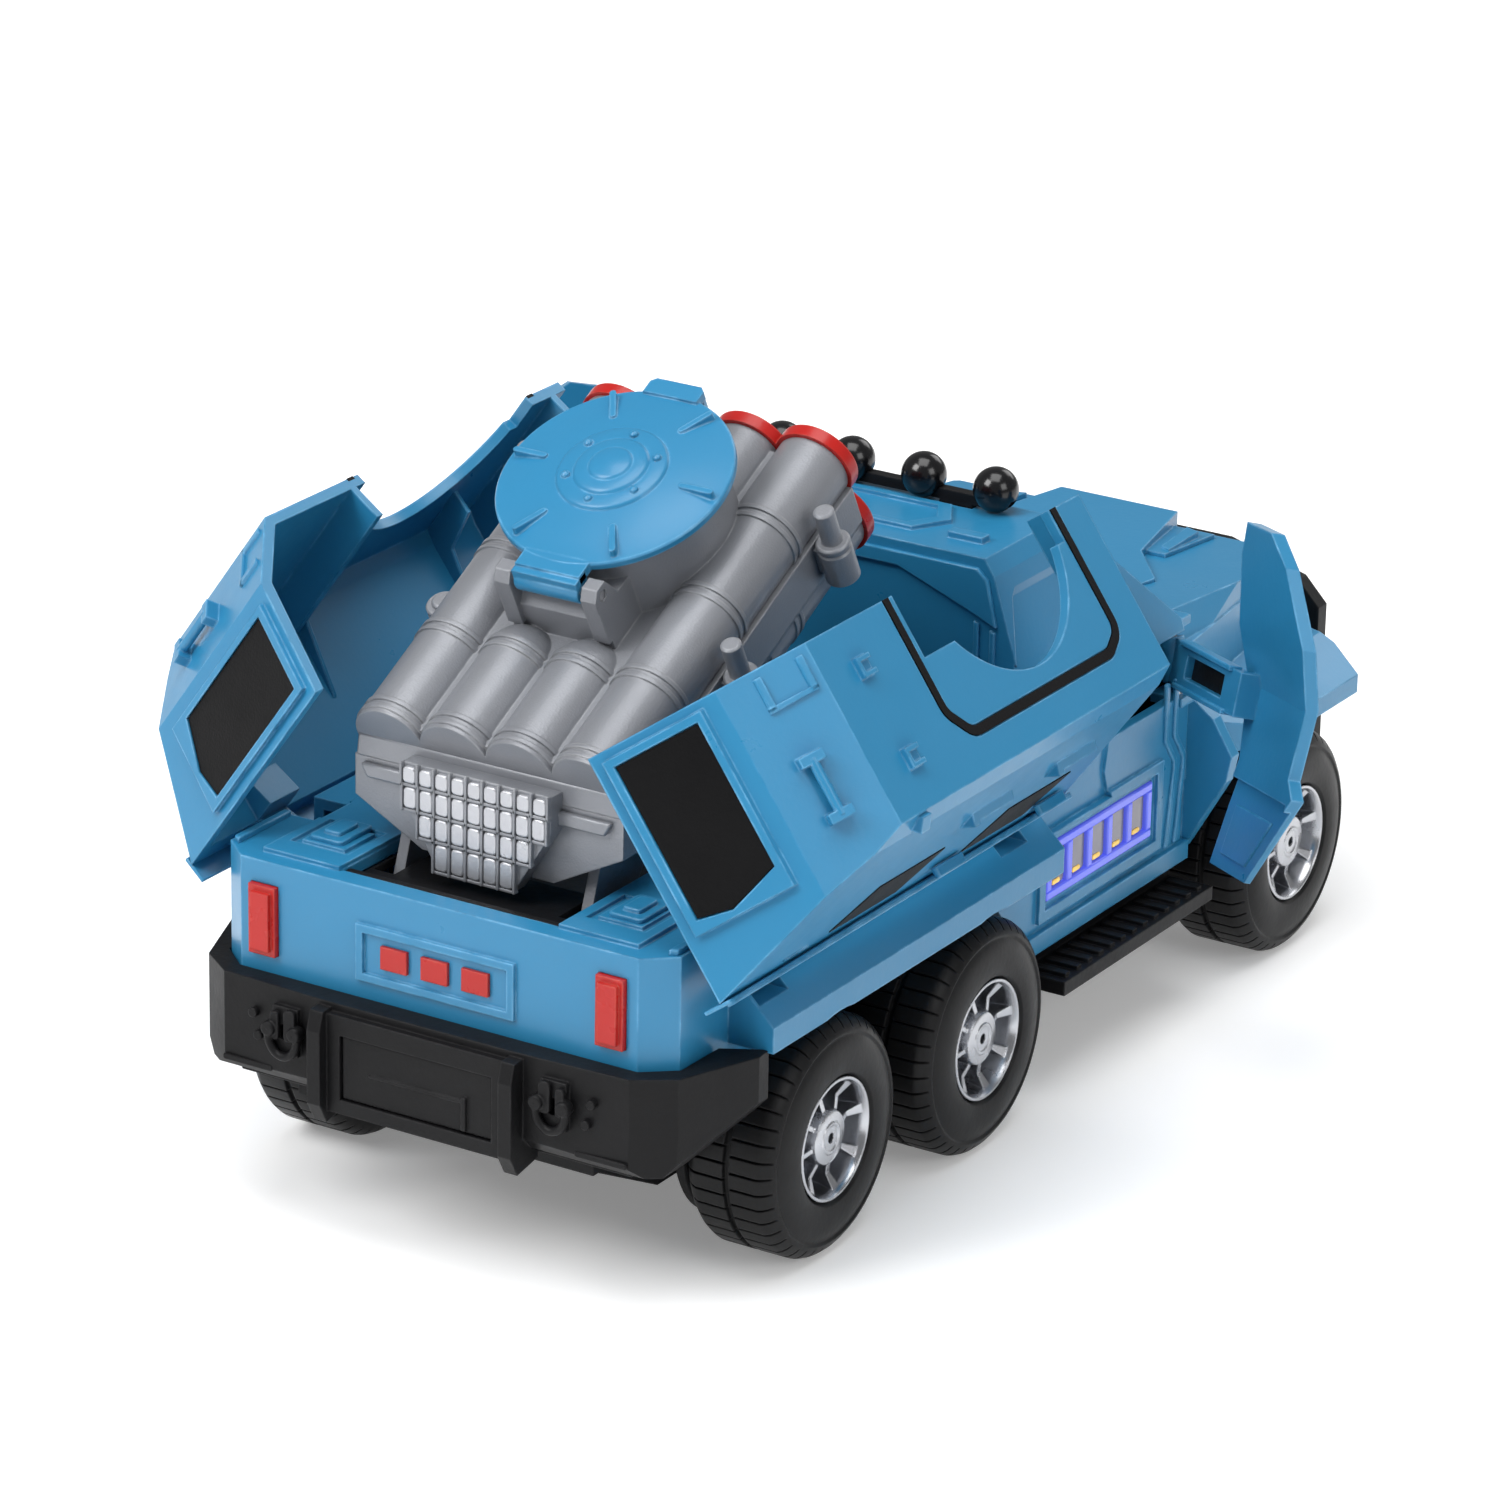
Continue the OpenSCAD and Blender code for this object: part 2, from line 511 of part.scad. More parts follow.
module cover_shape() {
  difference() {
    cover_skin();
    // stripe seat round the hatch side of the roof
    translate([0, 0, roof_z - 0.5]) linear_extrude(2) stripe(0.15);
    side_windows(0.15, 0.6);
  }
  cover_arm(-16);
  cover_arm(62);
  // grab handle and seam tab on the rear slope
  translate([0, -20.4, 93.2]) rotate([40, 0, 0]) {
    box(16, 17.8, -2.2, 2.2, -0.6, 1.8);
    box(26, 27.8, -2.2, 2.2, -0.6, 1.8);
    translate([17, 0, 1]) rotate([0, 90, 0]) cylinder(r = 0.9, h = 10);
  }
  // roof catches
  for (x = [8.1, 24.5]) difference() {
    box(x - 1.8, x + 1.8, -4.8, -1, roof_z - 0.5, roof_z + 1.1);
    box(x - 0.9, x + 0.9, -4, 0, roof_z + 0.3, roof_z + 2);
  }
  // lugs along the side
  for (y = [22, 50]) translate([38.4, y, 84.4]) rotate([0, 18.4, 0]) {
    box(-1, 1.2, 0, 13, -0.8, 0.8);
    box(-1, 1.8, 0, 1.8, -2.4, 0.8);
  }
  translate([34.6, -6.5, 95.8]) rotate([0, 40, 0]) box(-2, 0.9, -1.3, 1.3, -1.3, 1.3);
}
module stripe_outline() {
  offset(r = 4.6) offset(delta = -4.6)
    polygon([[-12, 10.4], [21.5, 10.4], [27, 15.2], [27, 61], [24, 66.8], [-12, 66.8]]);
}
module stripe(o) {
  intersection() {
    difference() {
      offset(delta = o) stripe_outline();
      offset(delta = -1.7 - o) stripe_outline();
    }
    translate([0.2 - o, 0]) square([40, 80]);
  }
}
module side_windows(o, d) {
  // thin slabs lying in the leaning side plane
  intersection() {
    difference() {
      translate([3, 0, 0.4]) cover_block(0);
      translate([-d, 0, -0.3 * d]) cover_block(0);
    }
    across(30, 60) { offset(delta = o) side_cut(-6, 23); offset(delta = o) side_cut(36, 65); }
  }
}
module pane_set() {
  translate([0, 0, roof_z - 0.5]) linear_extrude(0.65) stripe(0);
  intersection() {
    side_windows(0, 0.6);
    translate([0.15, 0, 0.05]) cover_block(0);
  }
  intersection() {
    difference() { translate([0, -0.75, 0.2]) cover_block(0); translate([0, -0.1, -0.1]) cover_block(0.1); }
    pane_outline(0);
  }
}
module pin_set() {
  for (y = [-16, 62]) translate([cover_hx, y + 0.4, cover_hz]) rotate([90, 0, 0])
    cylinder(r = 1, h = y < 0 ? 18 : 20, center = true, $fn = 24);
}
module cover_right() color([0.20, 0.47, 0.66]) at_axle() swing_cover() cover_shape();
module cover_left() color([0.20, 0.47, 0.66]) at_axle() mirror([1, 0, 0]) swing_cover() cover_shape();
module cover_right_panes() color([0.03, 0.03, 0.035]) at_axle() swing_cover() pane_set();
module cover_left_panes() color([0.03, 0.03, 0.035]) at_axle() mirror([1, 0, 0]) swing_cover() pane_set();
module cover_right_pins() color([0.7, 0.7, 0.72]) at_axle() pin_set();
module cover_left_pins() color([0.7, 0.7, 0.72]) at_axle() mirror([1, 0, 0]) pin_set();
// ---- doors ----
door_hx = 41.2;
door_hy = 133.6;
door_hz = 62.6;
module door_axis() {
  translate([door_hx, door_hy, door_hz]) rotate([-door_rake, -door_lean, 0]) children();
}
module door_shape() {
  difference() {
    intersection() {
      across(30, 60) door_face();
      along(60, 140) polygon([[body_hw, 20], [body_hw, belt_z + 0.4], [roof_hw + 2.1, 93.1],
        [roof_hw + 4.5, 94], [body_hw + 2.4, belt_z + 1], [body_hw + 2.4, 20]]);
    }
    // relief over the frame of the side lamp
    box(30, body_hw + 1.2, 79.5, 130, 29, 47.7);
  }
  difference() {
    union() {
      box(door_hx - 1, door_hx + 1, 100, door_hy, 58.6, 66.6);
      box(door_hx - 0.5, body_hw + 1, 100, 102.2, 58.6, 66.6);
      door_axis() cylinder(r = 2.4, h = 8, center = true);
    }
    door_axis() cylinder(r = 1.05, h = 30, center = true, $fn = 24);
    box(30, 60, 107, 125, 60.6, 64.8);
  }
}
module swing_door() {
  door_axis() rotate([0, 0, door_open]) rotate([door_rake, 0, 0]) rotate([0, door_lean, 0])
    translate([-door_hx, -door_hy, -door_hz]) children();
}
module door_right() color([0.20, 0.47, 0.66]) at_axle() swing_door() door_shape();
module door_left() color([0.20, 0.47, 0.66]) at_axle() mirror([1, 0, 0]) swing_door() door_shape();
module door_pins() color([0.7, 0.7, 0.72]) at_axle() both()
  door_axis() cylinder(r = 1, h = 15.4, center = true, $fn = 24);
// ---- launcher, modelled level and then tilted up about its axle ----
module raise() {
  translate([0, pivot_y, pivot_z]) rotate([tilt, 0, 0]) translate([0, -pivot_y, -pivot_z]) children();
}
module tube_row(zc, r, ya, yb) {
  for (i = [-1.5:1:1.5]) translate([i * tube_p, ya, lid_z + zc]) rotate([-90, 0, 0])
    cylinder(r = r, h = yb - ya);
}
// the launcher shells meet on the plane through the tube centres
split = lid_z - 20;
module launcher_top() color([0.50, 0.51, 0.53]) at_axle() raise() difference() {
  union() {
    difference() {
      tube_row(-17, tube_r, lid_y - 51, lid_y + 26.2);
      // the two middle tubes stop at the hinge block
      box(-13.2, 13.2, lid_y - 29, lid_y - 6, lid_z - 16, lid_z);
    }
    for (i = [-0.5, 0.5]) translate([i * tube_p, lid_y - 29.2, lid_z - 17]) sphere(r = tube_r);
    for (y = [-50.2, -48.4, -31.6, -29.8, -11.8, -10, 7, 8.8], i = (y > -25 ? [-1.5, 1.5] : [-1.5:1:1.5]))
      translate([i * tube_p, lid_y + y, lid_z - 17]) rotate([-90, 0, 0]) cylinder(r = tube_r + 0.3, h = 0.9);
    box(-22, 22, lid_y - 50, lid_y + 25, split, lid_z - 14);
    // drum below the lid and the hinge block behind it
    translate([0, lid_y, split]) cylinder(r = 18.2, h = 18.4);
    across(-10, 10) polygon([[lid_y - 24, split], [lid_y - 24, lid_z - 8], [lid_y - 21, lid_z - 5.4],
      [lid_y - 8, lid_z - 5.4], [lid_y - 8, split]]);
    both() across(7, 10) polygon([[lid_y - 25, lid_z - 12], [lid_y - 25, lid_z - 2.6],
      [lid_y - 23.6, lid_z - 0.9], [lid_y - 21.2, lid_z - 0.9], [lid_y - 19, lid_z - 5],
      [lid_y - 17, lid_z - 12]]);
  }
  tube_row(-17, tube_r - 1.4, lid_y + 4, lid_y + 40);
  translate([0, lid_y, lid_z - 14]) cylinder(r = 15.2, h = 20);
  box(-40, 40, lid_y - 80, lid_y + 60, split - 40, split);
  rod_x(1, -20, 20, lid_y - 22.6, lid_z - 2.9);
  box(-19, 19, lid_y - 44, lid_y - 26, split - 1, lid_z - 15.5);
}
module base_block(o) {
  intersection() {
    across(-26.4 + o, 26.4 - o) polygon([[-9.4 + o, split], [-12 + o, 74], [-10 + o, 70 + o],
      [-4 + o, 62 + o], [2, 57 + o], [30, 57 + o], [44, 62.6 + o], [lid_y + 26 - o * 4, 62.6 + o],
      [lid_y + 26 - o * 4, split]]);
    along(-60, 100) polygon([[-26.4 + o, 90], [-26.4 + o, 71], [-20 + o, 56], [20 - o, 56],
      [26.4 - o, 71], [26.4 - o, 90]]);
  }
}
module launcher_base() color([0.47, 0.48, 0.50]) at_axle() {
  raise() difference() {
    union() {
      base_block(0);
      difference() {
        tube_row(-17, tube_r, lid_y - 51, lid_y + 26.2);
        box(-40, 40, -60, 100, split, 120);
      }
      tube_row(-29.4, tube_r, lid_y - 6, lid_y + 26.2);
      for (y = [2, 3.8]) tube_row(-29.4, tube_r + 0.3, lid_y + y, lid_y + y + 0.9);
      // arms down to the axle
      both() across(17.4, 19.4) polygon([[pivot_y - 3.4, pivot_z], [pivot_y + 3.4, pivot_z - 1.5],
        [1, 58.5], [1, 68], [-9, 70], [pivot_y - 3.4, pivot_z + 3]]);
      both() rod_x(3.6, 17.4, 19.4, pivot_y, pivot_z);
    }
    intersection() {
      base_block(wall);
      box(-40, 40, -60, lid_y - 2, 0, split - 1.4);
    }
    tube_row(-17, tube_r - 1.4, lid_y + 4, lid_y + 40);
    tube_row(-29.4, tube_r - 1.4, lid_y + 4, lid_y + 40);
    rod_x(1.55, -40, 40, pivot_y, pivot_z);
    both() for (y = [8, 30]) translate([14, y, 40]) cylinder(r = 1.1, h = 30, $fn = 24);
  }
  raise() both() for (y = [8, 30]) difference() {
    translate([14, y, 57.5]) cylinder(r = 2.6, h = split - 58);
    translate([14, y, 50]) cylinder(r = 1.1, h = 40, $fn = 24);
  }
  // upright tail block behind the lattice
  along(-27.05, -14) intersection() {
    lattice_outline(0.4);
    translate([-20, 60]) square([40, 20.6]);
  }
  along(-25, -12) polygon([[-26.4, 80.2], [-26.4, 73], [-13, 66], [13, 66], [26.4, 73], [26.4, 80.2]]);
}
module launcher_screws() color([0.6, 0.6, 0.62]) at_axle() raise() both() for (y = [8, 30])
  translate([14, y, 0]) {
    translate([0, 0, 56.8]) cylinder(r = 1.1, h = 10, $fn = 24);
    translate([0, 0, 55.8]) cylinder(r = 2, h = 1.1, $fn = 24);
  }
module launcher_bezel() color([0.80, 0.07, 0.05]) at_axle() raise() difference() {
  union() {
    tube_row(-17, tube_r + 0.7, lid_y + 26.22, lid_y + 28.6);
    tube_row(-29.4, tube_r + 0.7, lid_y + 26.22, lid_y + 28.6);
    box(-21, 21, lid_y + 26.22, lid_y + 28.2, lid_z - 29.4, lid_z - 17);
  }
  tube_row(-17, tube_r - 1.4, lid_y + 20, lid_y + 40);
  tube_row(-29.4, tube_r - 1.4, lid_y + 20, lid_y + 40);
}
// the lattice panel stands upright while the launcher is raised
module lattice_outline(o) {
  polygon([[-14.6 + o, 82.4 - o], [14.6 - o, 82.4 - o], [14.6 - o, 76], [7.4 - o * 0.6, 64.2 + o],
    [-7.4 + o * 0.6, 64.2 + o], [-14.6 + o, 76]]);
}
module launcher_lattice() color([0.78, 0.79, 0.81]) at_axle() difference() {
  along(-29.4, -27.1) lattice_outline(0);
  along(-40, -28.2) intersection() {
    lattice_outline(0.8);
    union() for (i = [-3:3], j = [0:3]) translate([i * 3.95 - 1.5, 65.2 + j * 4.15]) square([3, 3.3]);
  }
}
module launcher_rams() color([0.55, 0.56, 0.58]) at_axle() raise() both() for (y = [-18.5, 13.5])
  translate([29.5, lid_y + y, lid_z - 28]) {
    cylinder(r = 3, h = 8.5);
    translate([0, 0, 8.4]) cylinder(r = 1.8, h = 7);
    translate([-3.05, -2, 2]) cube([2.2, 4, 5]);
  }
module launcher_axle() color([0.7, 0.7, 0.72]) at_axle() rod_x(1.5, -27.4, 27.4, pivot_y, pivot_z);
module hatch_lid() color([0.22, 0.50, 0.70]) at_axle() raise() difference() {
  translate([0, lid_y, lid_z]) {
    difference() {
      union() {
        translate([0, 0, -1.2]) cylinder(r = lid_r, h = 1.6);
        intersection() {
          translate([0, 0, -60]) sphere(r = 63, $fn = 96);
          translate([0, 0, 0.3]) cylinder(r = 16.5, h = 5);
        }
        translate([0, 0, 2.4]) cylinder(r = 9, h = 0.9);
        translate([0, 0, 2.4]) cylinder(r = 6.4, h = 1.4);
        translate([0, 0, 2.4]) cylinder(r = 3.6, h = 1.9);
        for (k = [0:5]) rotate([0, 0, 60 * k + 30]) translate([7.7, 0, 3])
          cylinder(r = 0.7, h = 0.9, $fn = 20);
        for (k = [0:5]) rotate([0, 0, 60 * k]) box(13, 19.6, -0.6, 0.6, 0.2, 1.6);
        box(-5.3, 5.3, 19, 22.6, -0.6, 1);
        box(-5, 5, 21.2, 22.6, -3.5, 1);
        box(-6.3, 6.3, -22.6, -19.4, -1.2, 0.4);
      }
      translate([0, 0, -1.3]) cylinder(r = 15, h = 1.3);
      translate([0, 0, -1.3]) cylinder(r = 7, h = 3);
    }
    rod_x(2.1, -6.3, 6.3, -22.6, -2.9);
    box(-6.3, 6.3, -24.5, -20.8, -2.9, -0.9);
  }
  rod_x(1.06, -20, 20, lid_y - 22.6, lid_z - 2.9);
}
module hatch_pin() color([0.7, 0.7, 0.72]) at_axle() raise() rod_x(1, -9.7, 9.7, lid_y - 22.6, lid_z - 2.9);
// ---- road wheels ----
module tyre() {
  // the outer face of the tyre is at x = 0
  rotate([0, -90, 0]) rotate_extrude($fn = 96) polygon([[rim_r, 0.4], [rim_r + 1, 0], [17, 0], [19.6, 0.6],
    [tyre_r, 2.2], [tyre_r, 8.4], [tyre_r - 0.7, 8.8], [tyre_r - 0.7, 9.6], [tyre_r, 10], [tyre_r, 15.6],
    [19.8, 17], [17.4, tyre_w], [rim_r, tyre_w]]);
}
module rim() {
  difference() {
    union() {
      rotate([0, -90, 0]) rotate_extrude($fn = 72) polygon([[0, 1.2], [3.9, 1.2], [4.2, 2.2], [4.2, 6.4],
        [9.6, 7.4], [10, 0.6], [rim_r - 0.03, 0.6], [rim_r - 0.03, 17], [0, 17]]);
      for (k = [0:7]) rotate([k * 45, 0, 0]) box(-7.2, -3, 3, 10, -0.9, 0.9);
    }
    rod_x(axle_d / 2, -20, -3, 0, 0);
    rotate([0, -90, 0]) translate([0, 0, 0.4]) cylinder(r = 2.2, h = 1.2, $fn = 6);
  }
  // inner drum and smooth backing disc
  rotate([0, -90, 0]) difference() {
    union() {
      translate([0, 0, 16.9]) cylinder(r = 9, h = 3.4);
      translate([0, 0, 19.6]) cylinder(r = 17.2, h = 2.2, $fn = 72);
    }
    translate([0, 0, 16]) cylinder(r = axle_d / 2, h = 10);
  }
}
module tyre_pair(x, y) color([0.035, 0.035, 0.035]) at_axle() both() translate([x, y, tyre_r]) tyre();
module rim_pair(x, y) color([0.75, 0.76, 0.78]) at_axle() both() translate([x, y, tyre_r]) rim();
module axle_rod(x, y) color([0.7, 0.7, 0.72]) at_axle() rod_x(axle_d / 2, -x + 3.5, x - 3.5, y, tyre_r);
module rear_tyres() tyre_pair(track_x, 0);
module rear_rims() rim_pair(track_x, 0);
module rear_axle_rod() axle_rod(track_x, 0);
module middle_tyres() tyre_pair(track_x, mid_axle);
module middle_rims() rim_pair(track_x, mid_axle);
module middle_axle_rod() axle_rod(track_x, mid_axle);
module front_tyres() tyre_pair(track_x + 1, front_axle);
module front_rims() rim_pair(track_x + 1, front_axle);
module front_axle_rod() axle_rod(track_x + 1, front_axle);

body_shell();
tail_lamps();
plate_bars();
cab_glass();
hood_panel();
side_lenses();
lamp_boards();
light_bar();
roof_lamps();
bull_bar();
front_grille();
head_lamps();
rear_bumper();
step_boards();
deck_liner();
chassis();
body_screws();
battery_cells();
battery_door();
battery_screw();
power_switch();
circuit_board();
speaker();
lift_gearbox();
turret();
turret_wheels();
turret_cap();
cover_right();
cover_right_panes();
cover_right_pins();
cover_left();
cover_left_panes();
cover_left_pins();
door_right();
door_left();
door_pins();
launcher_top();
launcher_base();
launcher_bezel();
launcher_lattice();
launcher_rams();
launcher_axle();
launcher_screws();
hatch_lid();
hatch_pin();
rear_tyres();
rear_rims();
rear_axle_rod();
middle_tyres();
middle_rims();
middle_axle_rod();
front_tyres();
front_rims();
front_axle_rod();
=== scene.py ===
import bpy, bmesh, json, math
from mathutils import Vector, Matrix


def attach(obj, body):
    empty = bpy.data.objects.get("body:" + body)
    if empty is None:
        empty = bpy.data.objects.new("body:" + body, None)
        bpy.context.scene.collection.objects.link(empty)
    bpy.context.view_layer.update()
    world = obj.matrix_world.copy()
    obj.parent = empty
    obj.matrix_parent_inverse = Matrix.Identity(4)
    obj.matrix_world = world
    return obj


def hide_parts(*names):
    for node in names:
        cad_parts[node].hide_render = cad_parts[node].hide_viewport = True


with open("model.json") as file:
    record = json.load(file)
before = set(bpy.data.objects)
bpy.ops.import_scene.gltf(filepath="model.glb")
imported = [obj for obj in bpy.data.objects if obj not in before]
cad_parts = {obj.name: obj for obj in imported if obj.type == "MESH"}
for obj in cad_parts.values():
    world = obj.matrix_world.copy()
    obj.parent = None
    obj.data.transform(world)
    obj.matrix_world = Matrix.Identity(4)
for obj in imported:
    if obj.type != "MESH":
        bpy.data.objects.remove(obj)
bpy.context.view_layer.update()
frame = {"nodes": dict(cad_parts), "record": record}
NODES = frame["nodes"]
scene = bpy.context.scene

# Shapes are written in millimetres, with y = 0 at the rear axle and z = 0 on the ground.
MM = 0.001
Y0 = -0.0744                     # the frame's y of the rear axle, in metres
SIDES = ((1, "right"), (-1, "left"))


# ---------------------------------------------------------------- camera
AZIMUTH, ELEVATION, ROLL = 31.64, 21.12, 1.09        # degrees
EYE = (0.58951, -0.90043 + Y0, 0.49464)              # metres


def aim_camera():
    az, el, roll = math.radians(AZIMUTH), math.radians(ELEVATION), math.radians(ROLL)
    back = Vector((math.sin(az) * math.cos(el), -math.cos(az) * math.cos(el), math.sin(el)))
    right = Vector((math.cos(az), math.sin(az), 0))
    up = back.cross(right)
    rolled_right = math.cos(roll) * right + math.sin(roll) * up
    rolled_up = -math.sin(roll) * right + math.cos(roll) * up
    data = bpy.data.cameras.new("camera")
    data.sensor_width = 36
    data.lens = 166.6
    data.clip_start, data.clip_end = 0.05, 20
    cam = bpy.data.objects.new("camera", data)
    scene.collection.objects.link(cam)
    m = Matrix((rolled_right, rolled_up, back)).transposed().to_4x4()
    m.translation = Vector(EYE)
    cam.matrix_world = m
    scene.camera = cam


aim_camera()


# ---------------------------------------------------------------- materials
COAT_ROUGHNESS = 0.12
PATCH_MIX = 0.5                  # how far the large patches go towards the second colour
DARKER = 0.86                    # second colour of a material that names none
BEVEL_SAMPLES = 4
# bevel radius of the mask for the painted edge highlight
EDGE_HIGHLIGHT_RADIUS = 0.0006             # metres


class Graph:
    """A small helper that adds and joins shader nodes."""

    def __init__(self, name):
        self.mat = bpy.data.materials.new(name)
        self.mat.use_nodes = True
        self.nt = self.mat.node_tree
        self.nt.nodes.clear()
        self.out = self.add("ShaderNodeOutputMaterial")
        self.bsdf = self.add("ShaderNodeBsdfPrincipled")
        self.join(self.bsdf, "BSDF", self.out, "Surface")
        self.coord = self.add("ShaderNodeTexCoord")

    def add(self, kind, **props):
        n = self.nt.nodes.new(kind)
        for k, v in props.items():
            setattr(n, k, v)
        return n

    def set(self, values):
        """Uniform values on the shader's own sockets."""
        for socket, value in values.items():
            self.bsdf.inputs[socket].default_value = value

    def join(self, a, out, b, inp):
        self.nt.links.new(a.outputs[out], b.inputs[inp])

    def noise(self, scale, detail, rough):
        n = self.add("ShaderNodeTexNoise")
        n.inputs["Scale"].default_value = scale
        n.inputs["Detail"].default_value = detail
        n.inputs["Roughness"].default_value = rough
        self.join(self.coord, "Object", n, "Vector")
        return n

    def ramp(self, src, out, lo, hi, a, b):
        r = self.add("ShaderNodeMapRange")
        r.inputs["From Min"].default_value = lo
        r.inputs["From Max"].default_value = hi
        r.inputs["To Min"].default_value = a
        r.inputs["To Max"].default_value = b
        self.join(src, out, r, "Value")
        return r

    def mix(self, fac, out, a, b):
        """Mixes a colour, or the colour another mix gives, with colour b."""
        m = self.add("ShaderNodeMix", data_type="RGBA")
        if hasattr(a, "outputs"):
            self.nt.links.new(a.outputs["Result"], m.inputs["A"])
        else:
            m.inputs["A"].default_value = (*a, 1)
        m.inputs["B"].default_value = (*b, 1)
        self.join(fac, out, m, "Factor")
        return m

    def bump(self, src, strength, distance, after=None):
        b = self.add("ShaderNodeBump")
        b.inputs["Strength"].default_value = strength
        b.inputs["Distance"].default_value = distance
        self.join(src, "Fac", b, "Height")
        if after:
            self.join(after, "Normal", b, "Normal")
        return b

    def rounded(self, radius):
        bev = self.add("ShaderNodeBevel", samples=BEVEL_SAMPLES)
        bev.inputs["Radius"].default_value = radius
        return bev

    def edge_highlight_mask(self):
        """1 on sharp edges, 0 elsewhere; this is where the painted edge highlight goes."""
        bev = self.rounded(EDGE_HIGHLIGHT_RADIUS)
        geo = self.add("ShaderNodeNewGeometry")
        dot = self.add("ShaderNodeVectorMath", operation="DOT_PRODUCT")
        self.join(bev, "Normal", dot, 0)
        self.join(geo, "Normal", dot, 1)
        return self.ramp(dot, "Value", 0.985, 0.9, 0.0, 1.0)


def shade(name, base, dark=None, rough=0.4, rough_var=0.08, metallic=0.0, coat=0.0, grain=0.0,
          grain_scale=900, wavy=0.0, edge=None, edge_amount=0.5, spec=0.5, patch=14, soften=0.0004,
          glow=None, glow_strength=0.0):
    """A plastic or metal with patches, scuffs, painted highlights on sharp edges, slow waves and fine
    grain.
    """
    g = Graph(name)
    g.set({"Metallic": metallic, "Specular IOR Level": spec, "Coat Weight": coat,
           "Coat Roughness": COAT_ROUGHNESS})
    if glow:
        g.set({"Emission Color": (*glow, 1), "Emission Strength": glow_strength})
    dark = dark or tuple(c * DARKER for c in base)
    patches = g.ramp(g.noise(patch, 4.0, 0.6), "Fac", 0.35, 0.7, 0.0, PATCH_MIX)
    col = g.mix(patches, "Result", base, dark)
    # Painted highlight: sharp edges turn towards the lighter edge colour, in patchy spots.
    if edge:
        spots = g.ramp(g.noise(160, 3.0, 0.6), "Fac", 0.38, 0.62, 0.0, edge_amount)
        mul = g.add("ShaderNodeMath", operation="MULTIPLY")
        g.join(g.edge_highlight_mask(), "Result", mul, 0)
        g.join(spots, "Result", mul, 1)
        col = g.mix(mul, "Value", col, edge)
    g.join(col, "Result", g.bsdf, "Base Color")
    scuff = g.ramp(g.noise(55, 5.0, 0.65), "Fac", 0.3, 0.75, rough - rough_var, rough + rough_var)
    g.join(scuff, "Result", g.bsdf, "Roughness")
    normal = g.rounded(soften) if soften else None
    if wavy:
        normal = g.bump(g.noise(38, 1.0, 0.4), wavy, 0.002, normal)
    if grain:
        normal = g.bump(g.noise(grain_scale, 2.0, 0.5), grain, 0.0002, normal)
    if normal:
        g.join(normal, "Normal", g.bsdf, "Normal")
    return g.mat


# The edge colour of a look is its painted highlight on sharp edges.
LOOKS = {
    "blue_abs": dict(
        base=(0.022, 0.196, 0.375), dark=(0.017, 0.178, 0.345), rough=0.33, rough_var=0.06,
        coat=0.08, spec=0.45, grain=0.10, wavy=0.05, edge=(0.20, 0.50, 0.78), edge_amount=0.75),
    "black_gloss": dict(
        base=(0.004, 0.004, 0.005), rough=0.2, rough_var=0.05, coat=0.25, spec=0.35, wavy=0.03),
    "sticker": dict(
        base=(0.0035, 0.0035, 0.004), dark=(0.006, 0.006, 0.0065), rough=0.5, spec=0.12,
        grain=0.25, grain_scale=2200, soften=0),
    "black_satin": dict(
        base=(0.0055, 0.0055, 0.0062), dark=(0.009, 0.009, 0.0098), rough=0.48, rough_var=0.08,
        spec=0.16, grain=0.22, wavy=0.06, edge=(0.04, 0.04, 0.042), edge_amount=0.4),
    "red_abs": dict(
        base=(0.42, 0.011, 0.008), dark=(0.35, 0.008, 0.006), rough=0.3, coat=0.1, spec=0.35,
        grain=0.06, wavy=0.04, edge=(0.8, 0.15, 0.1), edge_amount=0.3),
    "silver_paint": dict(
        base=(0.235, 0.244, 0.266), dark=(0.205, 0.214, 0.236), rough=0.44, rough_var=0.07,
        metallic=0.35, coat=0.08, grain=0.3, grain_scale=2600, wavy=0.08,
        edge=(0.5, 0.51, 0.53), edge_amount=0.45),
    "bright_silver": dict(
        base=(0.46, 0.47, 0.50), rough=0.34, metallic=0.6, grain=0.3, grain_scale=2600,
        wavy=0.08, edge=(0.8, 0.8, 0.82)),
    "clear_lens": dict(
        base=(0.30, 0.36, 0.85), dark=(0.42, 0.42, 0.62), rough=0.14, coat=0.4, wavy=0.1, soften=0),
    "head_lens": dict(base=(0.70, 0.74, 0.78), rough=0.12, coat=0.6, wavy=0.15),
    "tyre_black": dict(
        base=(0.006, 0.006, 0.0065), dark=(0.010, 0.010, 0.0105), rough=0.42, rough_var=0.1,
        spec=0.17, grain=0.15, wavy=0.05, edge=(0.022, 0.022, 0.023), edge_amount=0.35),
    "chrome_rim": dict(
        base=(0.52, 0.53, 0.56), dark=(0.40, 0.41, 0.43), rough=0.26, rough_var=0.08,
        metallic=1.0, wavy=0.12, grain=0.05),
    "steel": dict(base=(0.56, 0.56, 0.57), rough=0.28, metallic=1.0, grain=0.12),
    "board_green": dict(base=(0.03, 0.20, 0.07), dark=(0.05, 0.28, 0.10), rough=0.45, patch=120),
    "inner_white": dict(base=(0.62, 0.62, 0.58), rough=0.5, grain=0.2),
    "cell_can": dict(base=(0.55, 0.30, 0.10), dark=(0.48, 0.24, 0.08), rough=0.3, metallic=0.6),
    "speaker_black": dict(base=(0.03, 0.03, 0.03), rough=0.6, grain=0.3),
}
MATS = {name: shade(name, **look) for name, look in LOOKS.items()}


def dress_cad():
    """Gives every CAD object the material of its slot; panes are black film."""
    slots = {p["node"]: p["material_slot"] for p in frame["record"]["subparts"]}
    for name, ob in NODES.items():
        ob.data.materials.clear()
        ob.data.materials.append(MATS["sticker" if name.endswith("_panes") else slots[name]])
        for p in ob.data.polygons:
            p.material_index = 0


dress_cad()


# ---------------------------------------------------------------- mesh helpers
BEVEL_ANGLE = math.radians(35)   # edges sharper than this are bevelled


